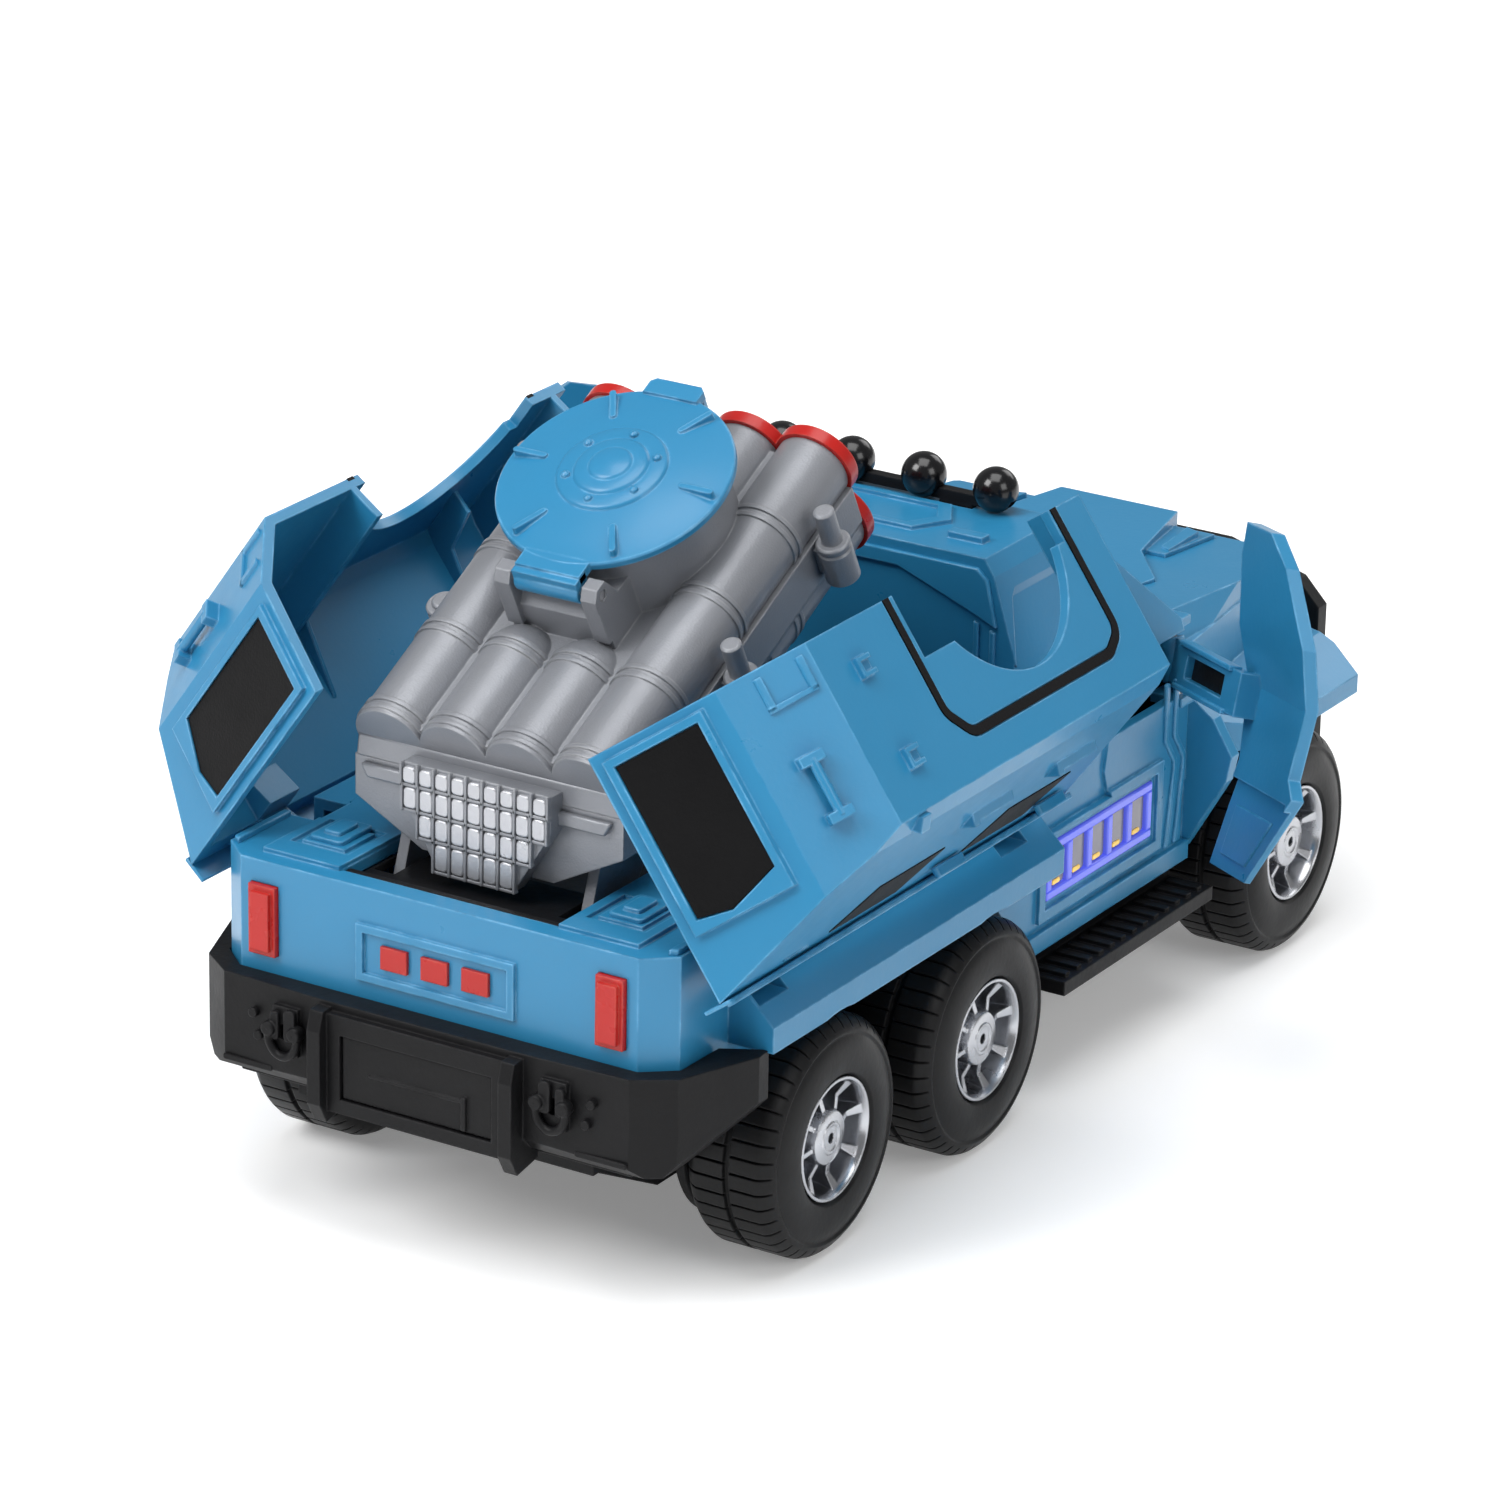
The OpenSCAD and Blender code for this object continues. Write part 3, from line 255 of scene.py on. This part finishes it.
def piece(name, bm, slot, body, replaces=(), bevel=0.0, mat=None, angle=40):
    """Turns a bmesh in millimetres into a piece that rides on a body."""
    bmesh.ops.scale(bm, vec=(MM, MM, MM), verts=bm.verts)
    bmesh.ops.translate(bm, vec=(0, Y0, 0), verts=bm.verts)
    bmesh.ops.recalc_face_normals(bm, faces=bm.faces)
    me = bpy.data.meshes.new(name)
    bm.to_mesh(me)
    bm.free()
    ob = bpy.data.objects.new(name, me)
    scene.collection.objects.link(ob)
    ob.data.materials.append(mat or MATS[slot])
    if bevel:
        m = ob.modifiers.new("bevel", "BEVEL")
        m.width, m.segments, m.limit_method, m.angle_limit = bevel * MM, 2, "ANGLE", BEVEL_ANGLE
    for p in me.polygons:
        p.use_smooth = True
    for e in me.edges:
        e.use_edge_sharp = False
    me.set_sharp_from_angle(angle=math.radians(angle))
    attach(ob, body)
    if replaces:
        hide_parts(*replaces)
    return ob


def turn(n):
    return [2 * math.pi * k / n for k in range(n)]


def lathe(bm, prof, angles, place, dip=None):
    """Revolves (d, r) points round the d axis; place maps (d, y, z) to a point."""
    rings = []
    for k, a in enumerate(angles):
        ring = []
        for d, r in prof:
            rr = r - (dip(k, d, r) if dip else 0.0)
            ring.append(bm.verts.new(place(d, rr * math.cos(a), rr * math.sin(a))))
        rings.append(ring)
    for k, a in enumerate(rings):
        b = rings[(k + 1) % len(rings)]
        for j in range(len(prof)):
            j2 = (j + 1) % len(prof)
            bm.faces.new((a[j], a[j2], b[j2], b[j]))


def walls(bm, a, b):
    """Faces between two loops of equal length."""
    for i in range(len(a)):
        j = (i + 1) % len(a)
        bm.faces.new((a[i], a[j], b[j], b[i]))


def slab(bm, outline, lo, hi, place):
    """A prism over an outline; place maps (u, v, w) to a point."""
    a = [bm.verts.new(place(u, v, lo)) for u, v in outline]
    b = [bm.verts.new(place(u, v, hi)) for u, v in outline]
    bm.faces.new(a[::-1])
    bm.faces.new(b)
    walls(bm, a, b)


def rect(u0, u1, v0, v1):
    return [(u0, v0), (u1, v0), (u1, v1), (u0, v1)]


def round_box(w, h, r, n=4, cx=0.0, cy=0.0):
    """Outline of a rectangle with rounded corners."""
    pts = []
    for k, (sx, sy) in enumerate(((1, 1), (-1, 1), (-1, -1), (1, -1))):
        for i in range(n + 1):
            a = math.pi / 2 * (k + i / n)
            pts.append((cx + sx * (w / 2 - r) + r * math.cos(a),
                        cy + sy * (h / 2 - r) + r * math.sin(a)))
    return pts


# Each of these gives a place function for slab: an outline in (u, v) and its depth w.
def across(side=1):
    """Outline in (x, z), depth along y."""
    return lambda u, v, w: Vector((side * u, w, v))


def level(side):
    """Outline in (x, y), depth along z."""
    return lambda u, v, w: Vector((side * u, v, w))


def along(side):
    """Outline in (y, z), depth along x."""
    return lambda u, v, w: Vector((side * w, u, v))


# ---------------------------------------------------------------- wheels
WHEEL_R = 21.0
REAR_X, FRONT_X = 53.4, 54.4     # outer face of a tyre
REAR_Y, MIDDLE_Y, FRONT_Y = 0.0, 49.9, 160.5
# profiles as (depth from the outer face, radius)
TYRE = [(0.9, 10.98), (0.25, 11.5), (0.02, 12.5), (0.0, 14.0), (0.2, 15.8), (0.62, 17.2),
        (0.95, 17.9), (0.72, 18.4), (1.0, 19.1), (1.7, 20.0), (2.5, 20.65), (3.3, 20.98),
        (8.4, 21.0), (8.6, 20.2), (9.5, 20.2), (9.7, 21.0), (15.0, 20.98), (16.0, 20.5),
        (17.0, 19.6), (17.7, 18.0), (18.0, 15.5), (18.0, 10.98)]
RIM = [(17.0, 0.9), (17.0, 10.9), (1.2, 10.9), (0.55, 10.75), (0.5, 10.3), (1.0, 9.95),
       (2.2, 9.7), (5.2, 9.2), (7.2, 8.0), (7.8, 6.2), (7.6, 5.0), (2.6, 4.9), (1.75, 4.65),
       (1.5, 4.2), (1.5, 0.9)]
HUB_RING = [(1.32, 2.3), (1.32, 2.7), (1.6, 2.9), (1.6, 2.1)]
DISC = [(17.0, 0.9), (17.0, 9.0), (19.4, 9.0), (19.4, 16.6), (19.8, 17.1), (21.3, 17.1),
        (21.8, 16.6), (21.8, 0.9)]
# rings of a spoke: radius, half width, depth of its front and back
SPOKE = ((4.5, 0.42, 2.3, 7.4), (7.2, 0.5, 2.9, 7.6), (9.9, 0.95, 1.5, 6.0))
SPOKES = 8
TREADS = 44
TREAD_STEPS = (0.0, 0.03, 0.12, 0.15, 0.5, 0.53, 0.62, 0.65)     # parts of one tread period
TREAD_ANGLES = [2 * math.pi * (k + f) / TREADS for k in range(TREADS) for f in TREAD_STEPS]
GROOVE = 0.62
SHOULDER_R = 19.5                # the grooves stay outside this radius


def tread(k, d, r):
    """Depth of the cross grooves: one row outside, one inside, half a period apart."""
    step = k % len(TREAD_STEPS)
    if r < SHOULDER_R:
        return 0.0
    outer = step in (1, 2) and (1.6 < d < 8.5)
    inner = step in (5, 6) and (9.6 < d < 16.5)
    return GROOVE if outer or inner else 0.0


def spoke(bm, t, place):
    c, s = math.cos(t), math.sin(t)
    vs = []
    for r, half, front, back in SPOKE:
        for w in (-half, half):
            for d in (front, back):
                vs.append(bm.verts.new(place(d, r * c - w * s, r * s + w * c)))
    for i in (0, 4):
        a = vs[i:i + 8]
        bm.faces.new((a[0], a[4], a[6], a[2]))
        bm.faces.new((a[1], a[3], a[7], a[5]))
        bm.faces.new((a[0], a[1], a[5], a[4]))
        bm.faces.new((a[2], a[6], a[7], a[3]))
    bm.faces.new((vs[0], vs[2], vs[3], vs[1]))
    bm.faces.new((vs[8], vs[9], vs[11], vs[10]))


def wheel_meshes(tag, x, y, body):
    tyres, rims, discs = bmesh.new(), bmesh.new(), bmesh.new()
    for side, _ in SIDES:
        def place(d, a, b, side=side):
            return Vector((side * (x - d), y + a, WHEEL_R + b))
        lathe(tyres, TYRE, TREAD_ANGLES, place, tread)
        lathe(rims, RIM, turn(64), place)
        lathe(rims, HUB_RING, turn(40), place)
        for k in range(SPOKES):
            spoke(rims, 2 * math.pi * (k + 0.25) / SPOKES, place)
        lathe(discs, DISC, turn(64), place)
    piece(tag + "_tyres_tread", tyres, "tyre_black", body, (tag + "_tyres",), angle=32)
    piece(tag + "_rims_cast", rims, "chrome_rim", body, (tag + "_rims",), angle=38)
    piece(tag + "_wheel_discs", discs, "black_satin", body, angle=38)


wheel_meshes("rear", REAR_X, REAR_Y, "rear_wheels")
wheel_meshes("middle", REAR_X, MIDDLE_Y, "middle_wheels")
wheel_meshes("front", FRONT_X, FRONT_Y, "front_wheels")


# ---------------------------------------------------------------- hatch lid
TILT = math.radians(27.7)        # launcher raised
AXLE_Y, AXLE_Z = -22.2, 51.3     # the axle that the launcher tilts on
LID_Y, LID_Z = 41.5, 98.6        # centre of the lid's lower rim, launcher lowered
# (height, radius) of the pressed lid and of a bolt head on it
LID = [(0.0, 0.02), (-1.1, 14.8), (-1.2, 20.2), (-0.9, 20.55), (0.1, 20.55), (0.4, 20.3),
       (0.5, 19.2), (1.1, 16.2), (1.75, 12.0), (1.95, 9.7), (2.35, 9.5), (2.6, 9.1), (2.65, 6.6),
       (3.0, 6.3), (3.25, 5.9), (3.3, 3.9), (3.6, 3.6), (3.8, 3.2), (3.85, 0.02)]
BOLT = [(2.4, 0.05), (2.4, 0.72), (3.05, 0.72), (3.3, 0.45), (3.38, 0.05)]
BOLT_CIRCLE = 7.8
BARREL = [(-6.25, 1.05), (-6.25, 2.0), (-5.95, 2.15), (5.95, 2.15), (6.25, 2.0), (6.25, 1.05)]


def raised(x, y, z):
    """A point from the lid's frame, launcher lowered, to where the raised launcher has it."""
    py, pz = LID_Y + y - AXLE_Y, LID_Z + z - AXLE_Z
    return Vector((x, AXLE_Y + py * math.cos(TILT) - pz * math.sin(TILT),
                   AXLE_Z + py * math.sin(TILT) + pz * math.cos(TILT)))


def lid():
    bm = bmesh.new()
    lathe(bm, LID, turn(96), lambda d, a, b: raised(a, b, d))
    for k in range(6):
        t, a = math.radians(60 * k), math.radians(60 * k + 30)

        def rib(u, v, w, c=math.cos(t), s=math.sin(t)):
            return raised(u * c - v * s, u * s + v * c, w)

        def bolt(d, p, q, a=a):
            return raised(BOLT_CIRCLE * math.cos(a) + p, BOLT_CIRCLE * math.sin(a) + q, d)
        slab(bm, round_box(6.6, 1.15, 0.55, cx=16.3), 0.35, 1.95, rib)
        lathe(bm, BOLT, turn(16), bolt)
    # front finger tab with a turned-down lip
    slab(bm, [(-5.3, 19.0), (5.3, 19.0), (5.3, 21.6), (4.4, 22.5), (-4.4, 22.5), (-5.3, 21.6)],
         -0.6, 1.0, raised)
    slab(bm, [(-4.6, 21.5), (4.6, 21.5), (4.4, 22.5), (-4.4, 22.5)], -3.5, -0.5, raised)
    # rear hinge barrel and the leaf that carries it
    slab(bm, rect(-6.3, 6.3, -22.8, -19.0), -1.2, 0.4, raised)
    lathe(bm, BARREL, turn(32), lambda d, a, b: raised(d, -22.6 + a, -2.9 + b))
    slab(bm, rect(-6.3, 6.3, -24.2, -21.0), -2.2, 0.0, raised)
    piece("hatch_lid_pressed", bm, "blue_abs", "hatch", ("hatch_lid",), angle=35)


lid()


# ---------------------------------------------------------------- launcher tail and cylinders
# rows of pads on the tail: lower and upper edge, pitch, pads either side of the middle
PAD_ROWS = ((79.1, 81.9, 3.2, 4), (74.7, 78.3, 3.16, 4), (70.2, 73.9, 3.2, 3), (64.9, 69.4, 3.2, 2))
HALF_PITCH = 1.6
RAM_BODY = [(0.0, 0.03), (0.0, 2.7), (0.3, 3.0), (6.6, 3.0), (6.9, 2.75), (7.3, 2.75), (7.6, 3.0),
            (8.2, 3.0), (8.5, 2.7), (8.5, 1.8)]
ROD, ROD_IN = 7.0, 0.9           # length of a rod drawn out and drawn in
REAR_RAM_Y, FRONT_RAM_Y = -18.5, 13.5


def tail_face():
    at = across()
    bm = bmesh.new()
    slab(bm, [(-26.2, 79.9), (26.2, 79.9), (25.8, 84.0), (-25.8, 84.0)], -25.1, -21.0, at)
    for side, _ in SIDES:
        slab(bm, [(side * 14.2, 76.8), (side * 23.4, 76.8), (side * 24.6, 79.2), (side * 14.2, 79.2)],
             -26.2, -24.9, at)
    piece("launcher_tail_face", bm, "silver_paint", "launcher", bevel=0.35, angle=35)
    ribs, pads = bmesh.new(), bmesh.new()
    slab(ribs, [(-14.6, 82.4), (14.6, 82.4), (14.6, 76.0), (7.4, 64.2), (-7.4, 64.2), (-14.6, 76.0)],
         -28.4, -25.0, at)
    for lo, hi, pitch, n in PAD_ROWS:
        xs = [i * pitch for i in range(-n, n + 1)]
        for x in xs:
            slab(pads, round_box(2.5, hi - lo, 0.7, cx=x, cy=(lo + hi) / 2), -29.25, -28.2, at)
        for x in [xs[0] - HALF_PITCH] + [v + HALF_PITCH for v in xs]:
            slab(ribs, round_box(0.46, hi - lo + 1.3, 0.22, cx=x, cy=(lo + hi) / 2), -29.4, -28.3, at)
        slab(ribs, round_box(xs[-1] - xs[0] + 3.8, 0.55, 0.27, cy=lo - 0.42), -29.1, -28.3, at)
    piece("launcher_lattice_ribs", ribs, "silver_paint", "launcher", ("launcher_lattice",),
          bevel=0.16, angle=35)
    piece("launcher_lattice_pads", pads, "bright_silver", "launcher", bevel=0.22, angle=35)


def rams():
    """Side cylinders; the rear one on the left has its rod drawn in."""
    bm = bmesh.new()
    for side, _ in SIDES:
        for y, rod in ((REAR_RAM_Y, ROD if side > 0 else ROD_IN), (FRONT_RAM_Y, ROD)):
            def at(d, a, b, side=side, y=y):
                return raised(side * 29.5 + a, y + b, d - 28.0)
            tip = [(8.5 + rod - 0.4, 1.8), (8.4 + rod, 1.4), (8.4 + rod, 0.03)]
            lathe(bm, RAM_BODY + tip, turn(40), at)
            slab(bm, round_box(2.4, 4.0, 0.3, 3, cx=side * 27.6, cy=y), -26.0, -21.0, raised)
    piece("launcher_rams_turned", bm, "silver_paint", "launcher", ("launcher_rams",), angle=35)


tail_face()
rams()


# ---------------------------------------------------------------- cover lips, ribs and tabs
OPEN = math.radians(54.8)
COVER_X, COVER_Z = 40.7, 54.6    # hinge line of a cover
# stiffening ribs: y and where the rib starts below the roof
COVER_RIBS = ((12.6, 11.9), (57.0, 20.0))
# the two arms and the foot of the U-shaped tab: x0, x1, y0, y1
TAB_BARS = ((1.6, 7.6, -21.6, -20.6), (1.6, 7.6, -15.6, -14.6), (6.8, 7.8, -21.6, -14.6))


def opened(x, y, z, side):
    """A point of a closed cover to the same point with the cover swung open."""
    u, v = x - COVER_X, z - COVER_Z
    return Vector((side * (COVER_X + u * math.cos(OPEN) + v * math.sin(OPEN)), y,
                   COVER_Z - u * math.sin(OPEN) + v * math.cos(OPEN)))


def rear_slope(y):
    """Height of a closed cover's rear slope."""
    return 87.5 + (y + 26.5) * (98.0 - 87.5) / 13.0


def cover_details():
    for side, word in SIDES:
        body = word + "_cover"

        def flank(u, v, w, side=side):
            return opened(w, u, v, side)

        def section(u, v, w, side=side):
            return opened(u, w, v, side)
        bm = bmesh.new()
        # overlap lip along the lower edge, with a bead along its top
        slab(bm, [(-36.4, 62.4), (74.8, 62.4), (74.8, 67.4), (-35.6, 67.4)], 44.62, 45.3, flank)
        slab(bm, [(-35.4, 66.5), (74.8, 66.5), (74.8, 67.4), (-35.0, 67.4)], 45.1, 45.7, flank)
        # clips standing on the lip
        for y in (30.0, 64.0):
            slab(bm, round_box(9.0, 1.3, 0.6, cx=y, cy=70.2), 43.4, 45.4, flank)
        piece("cover_%s_lip" % word, bm, "blue_abs", body, bevel=0.18, angle=35)
        bm = bmesh.new()
        for y, top in COVER_RIBS:
            slab(bm, [(top, 96.1), (31.6, 96.1), (34.0, 92.4), (39.8, 76.0), (36.2, 78.0),
                      (29.2, 90.2), (top + 1.0, 91.6)], y, y + 0.9, section)
        piece("cover_%s_ribs" % word, bm, "blue_abs", body, bevel=0.15, angle=35)
        bm = bmesh.new()
        for x0, x1, y0, y1 in TAB_BARS:
            foot = rect(x0, x1, y0, y1)
            lo = [bm.verts.new(opened(x, y, rear_slope(y) - 0.6, side)) for x, y in foot]
            hi = [bm.verts.new(opened(x, y - 0.25, rear_slope(y) + 0.45, side)) for x, y in foot]
            bm.faces.new(lo[::-1])
            bm.faces.new(hi)
            walls(bm, lo, hi)
        piece("cover_%s_tab" % word, bm, "blue_abs", body, bevel=0.15, angle=35)


cover_details()


# ---------------------------------------------------------------- relief on the body
JAMB_LINE = [(124.8, 61.0), (126.0, 61.0), (126.0, 50.5), (129.6, 45.6), (129.6, 43.2), (127.4, 29.2),
             (126.2, 29.2), (128.4, 43.4), (128.4, 45.2), (124.8, 50.0)]


def body_relief():
    bm = bmesh.new()
    for side, _ in SIDES:
        # raised field and two bars on the rear wall of the cab
        at = across(side)
        slab(bm, [(4.0, 94.2), (32.0, 94.2), (34.0, 92.4), (36.0, 84.0), (30.6, 86.2), (16.0, 91.6),
                  (4.0, 91.6)], 77.6, 78.6, at)
        slab(bm, [(31.4, 84.6), (32.5, 84.2), (32.5, 68.0), (31.4, 68.0)], 77.9, 78.6, at)
        slab(bm, [(34.6, 83.4), (35.7, 83.0), (35.7, 68.0), (34.6, 68.0)], 77.9, 78.6, at)
        # stepped pad and side rim on each tail deck
        at = level(side)
        slab(bm, round_box(6.6, 9.4, 0.8, cx=29.6, cy=-24.6), 64.7, 65.6, at)
        slab(bm, round_box(3.4, 5.6, 0.5, cx=29.6, cy=-24.6), 65.5, 66.3, at)
        slab(bm, [(42.3, -36.0), (43.7, -35.2), (43.7, -21.0), (42.3, -21.0)], 63.9, 65.0, at)
        # two stepped lines down the door jamb
        for off in (0.0, 3.4):
            slab(bm, [(u + off, v) for u, v in JAMB_LINE], 44.2, 45.0, along(side))
    piece("body_relief", bm, "blue_abs", "vehicle", bevel=0.2, angle=35)


body_relief()


# ---------------------------------------------------------------- door arms and rims
DOOR_OPEN = math.radians(51)
DOOR_AXIS = (-0.27145, 0.173648, 0.946658)
DOOR_HINGE = (41.2, 133.6, 62.6)


def door_details():
    swing = Matrix.Rotation(DOOR_OPEN, 3, Vector(DOOR_AXIS))
    hinge = Vector(DOOR_HINGE)
    for side, word in SIDES:
        def at(u, v, w, side=side):
            p = swing @ (Vector((w, u, v)) - hinge) + hinge
            return Vector((side * p.x, p.y, p.z))
        bm = bmesh.new()
        # Black plate in the arm's opening: painted shade where the deep recess falls dark.
        slab(bm, rect(106.6, 125.4, 60.2, 65.2), 41.75, 42.1, at)
        piece("door_%s_arm_shade_plate" % word, bm, "black_satin", word + "_door", bevel=0.05)
        bm = bmesh.new()
        # flanges below and above the arm, and a rim inside the lower part of the door
        for v0, v1 in ((58.2, 59.2), (66.0, 67.0)):
            slab(bm, rect(104.0, 128.0, v0, v1), 39.4, 42.0, at)
        slab(bm, [(93.4, 33.6), (104.8, 33.6), (102.2, 43.2), (85.6, 43.2)], 45.3, 45.75, at)
        piece("door_%s_flanges" % word, bm, "blue_abs", word + "_door", bevel=0.2)


door_details()


# ---------------------------------------------------------------- side lamps
LAMP_Y0, LAMP_Y1 = 83.5, 121.1
LAMP_PITCH = 7.16
WINDOWS = 5


def side_lamps():
    glow = shade("lens_glow", (0.050, 0.080, 0.62), (0.10, 0.10, 0.50), rough=0.2, coat=0.5,
                 wavy=0.12, patch=60, soften=0, glow=(0.16, 0.20, 1.0), glow_strength=0.35)
    grey = shade("lens_clear", (0.19, 0.18, 0.22), (0.10, 0.10, 0.14), rough=0.15, coat=0.5,
                 wavy=0.2, patch=90, soften=0)
    led = shade("led_yellow", (0.85, 0.55, 0.10), rough=0.3, patch=300, soften=0,
                glow=(1.0, 0.62, 0.12), glow_strength=0.25)
    frames, windows, diodes = bmesh.new(), bmesh.new(), bmesh.new()
    for side, _ in SIDES:
        at = along(side)
        slab(frames, rect(LAMP_Y0, LAMP_Y1, 33.2, 43.8), 42.5, 43.6, at)
        for v0, v1 in ((33.2, 34.9), (42.1, 43.8)):
            slab(frames, rect(LAMP_Y0, LAMP_Y1, v0, v1), 43.5, 44.8, at)
        for i in range(WINDOWS + 1):
            u = LAMP_Y0 + i * LAMP_PITCH
            slab(frames, rect(u, u + 1.8, 34.8, 42.2), 43.5, 44.8, at)
        for i in range(WINDOWS):
            u = 88.0 + i * LAMP_PITCH
            slab(windows, round_box(4.9, 6.9, 0.7, cx=u, cy=38.5), 43.5, 44.1, at)
            slab(diodes, round_box(2.6, 0.9, 0.35, 3, cx=u - 0.4, cy=35.7), 44.05, 44.3, at)
    piece("side_lamp_frames", frames, "clear_lens", "vehicle", ("side_lenses",), mat=glow, bevel=0.3)
    piece("side_lamp_windows", windows, "clear_lens", "vehicle", mat=grey, bevel=0.15)
    piece("side_lamp_diodes", diodes, "board_green", "vehicle", mat=led, bevel=0.1)


side_lamps()


# ---------------------------------------------------------------- bumper fittings
BOW_X, BOW_Y, BOW_Z = 26.5, -46.0, 36.6
BOW_R, BOW_BAR, BOW_STRETCH = 2.9, 0.75, 1.25        # bend radius, bar radius, longer than round
BOW_STEPS = 26
SHACKLE_BOLT = [(-1.1, 0.05), (-1.1, 1.1), (-0.8, 1.3), (0.8, 1.3), (1.1, 1.1), (1.1, 0.05)]


def bow(bm, at):
    """The bent bar of a shackle, swept round its curve."""
    rings = []
    for i in range(BOW_STEPS + 1):
        a = math.pi * (1.12 * i / BOW_STEPS - 0.06)
        cx, cz = BOW_X + BOW_R * math.cos(a), BOW_Z - BOW_R * BOW_STRETCH * math.sin(a)
        tx, tz = -math.sin(a), -BOW_STRETCH * math.cos(a)
        length = math.hypot(tx, tz)
        nx, nz = tz / length, -tx / length
        rings.append([bm.verts.new(at(cx + BOW_BAR * math.cos(t) * nx, cz + BOW_BAR * math.cos(t) * nz,
                                      BOW_Y + BOW_BAR * math.sin(t))) for t in turn(12)])
    for a, b in zip(rings, rings[1:]):
        for j in range(len(a)):
            j2 = (j + 1) % len(a)
            bm.faces.new((a[j], a[j2], b[j2], b[j]))
    bm.faces.new(rings[0])
    bm.faces.new(rings[-1][::-1])


def shackles():
    bm = bmesh.new()
    for side, _ in SIDES:
        at = across(side)
        bow(bm, at)
        for u in (23.9, 29.1):
            def bolt(d, a, b, u=u, side=side):
                return Vector((side * (u + a), -45.9 + d, 37.6 + b))
            lathe(bm, SHACKLE_BOLT, turn(20), bolt)
        slab(bm, round_box(2.2, 5.6, 0.8, cx=25.2, cy=38.6), -46.1, -44.9, at)
        slab(bm, round_box(1.6, 5.0, 0.6, cx=28.2, cy=38.2), -46.1, -44.9, at)
        # two studs beside the shackle
        for u, v in ((33.4, 38.8), (32.4, 35.0)):
            slab(bm, round_box(1.7, 1.7, 0.84, cx=u, cy=v), -45.0, -43.2, at)
        # bar low on the bumper corner
        slab(bm, round_box(10.0, 1.0, 0.4, cx=35.0, cy=29.2), -44.2, -42.6, at)
    piece("bumper_shackles", bm, "black_satin", "vehicle", bevel=0.2, angle=40)


def centre_plate():
    at = across()
    bm = bmesh.new()
    slab(bm, round_box(29.6, 11.2, 0.4, cy=33.8), -45.5, -44.5, at)
    slab(bm, rect(9.0, 10.0, 28.6, 34.6), -46.1, -45.4, at)
    slab(bm, round_box(19.0, 0.7, 0.3, cx=0.0, cy=33.6), -45.8, -45.4, at)
    # skirt that closes the gap between bumper and body
    slab(bm, rect(-38.8, 38.8, 25.8, 28.4), -40.6, -39.95, at)
    piece("bumper_centre_plate", bm, "black_satin", "vehicle", bevel=0.25)


shackles()
centre_plate()


# ---------------------------------------------------------------- stage
WHITE = (1, 1, 1, 1)
FLOOR_HALF, DOME_R = 4.0, 5.5    # metres
WORLD_STRENGTH = 0.27
AIM = Vector((0, 0, 0.05))
# name, place in metres, size in metres, watts
LIGHTS = (("key", (-0.7, -1.3, 1.4), 0.9, 27), ("top", (0.1, -0.3, 1.9), 1.4, 26),
          ("right", (1.5, -0.4, 0.9), 0.8, 7), ("front", (0.2, 1.6, 1.0), 0.9, 6))


def stage_piece(name, bm, values):
    me = bpy.data.meshes.new(name)
    bm.to_mesh(me)
    bm.free()
    ob = bpy.data.objects.new(name, me)
    scene.collection.objects.link(ob)
    g = Graph(name)
    g.set(values)
    ob.data.materials.append(g.mat)
    return ob


def build_stage():
    bm = bmesh.new()
    bmesh.ops.create_grid(bm, x_segments=1, y_segments=1, size=FLOOR_HALF)
    stage_piece("floor", bm, {"Base Color": (0.93, 0.93, 0.93, 1), "Roughness": 0.9,
                              "Specular IOR Level": 0.1, "Emission Color": WHITE,
                              "Emission Strength": 0.22})
    # pale dome that only the camera sees
    bm = bmesh.new()
    bmesh.ops.create_uvsphere(bm, u_segments=48, v_segments=24, radius=DOME_R)
    dome = stage_piece("dome", bm, {"Base Color": (0, 0, 0, 1), "Specular IOR Level": 0,
                                    "Emission Color": WHITE, "Emission Strength": 0.95})
    for kind in ("diffuse", "glossy", "transmission", "shadow"):
        setattr(dome, "visible_" + kind, False)
    world = bpy.data.worlds.new("studio")
    world.use_nodes = True
    background = world.node_tree.nodes["Background"]
    background.inputs["Color"].default_value = WHITE
    background.inputs["Strength"].default_value = WORLD_STRENGTH
    scene.world = world
    for name, loc, size, power in LIGHTS:
        d = bpy.data.lights.new(name, "AREA")
        d.shape, d.size, d.energy = "SQUARE", size, power
        ob = bpy.data.objects.new(name, d)
        ob.location = loc
        ob.rotation_euler = (AIM - Vector(loc)).to_track_quat("-Z", "Y").to_euler()
        scene.collection.objects.link(ob)
    scene.view_settings.view_transform = "Standard"


build_stage()
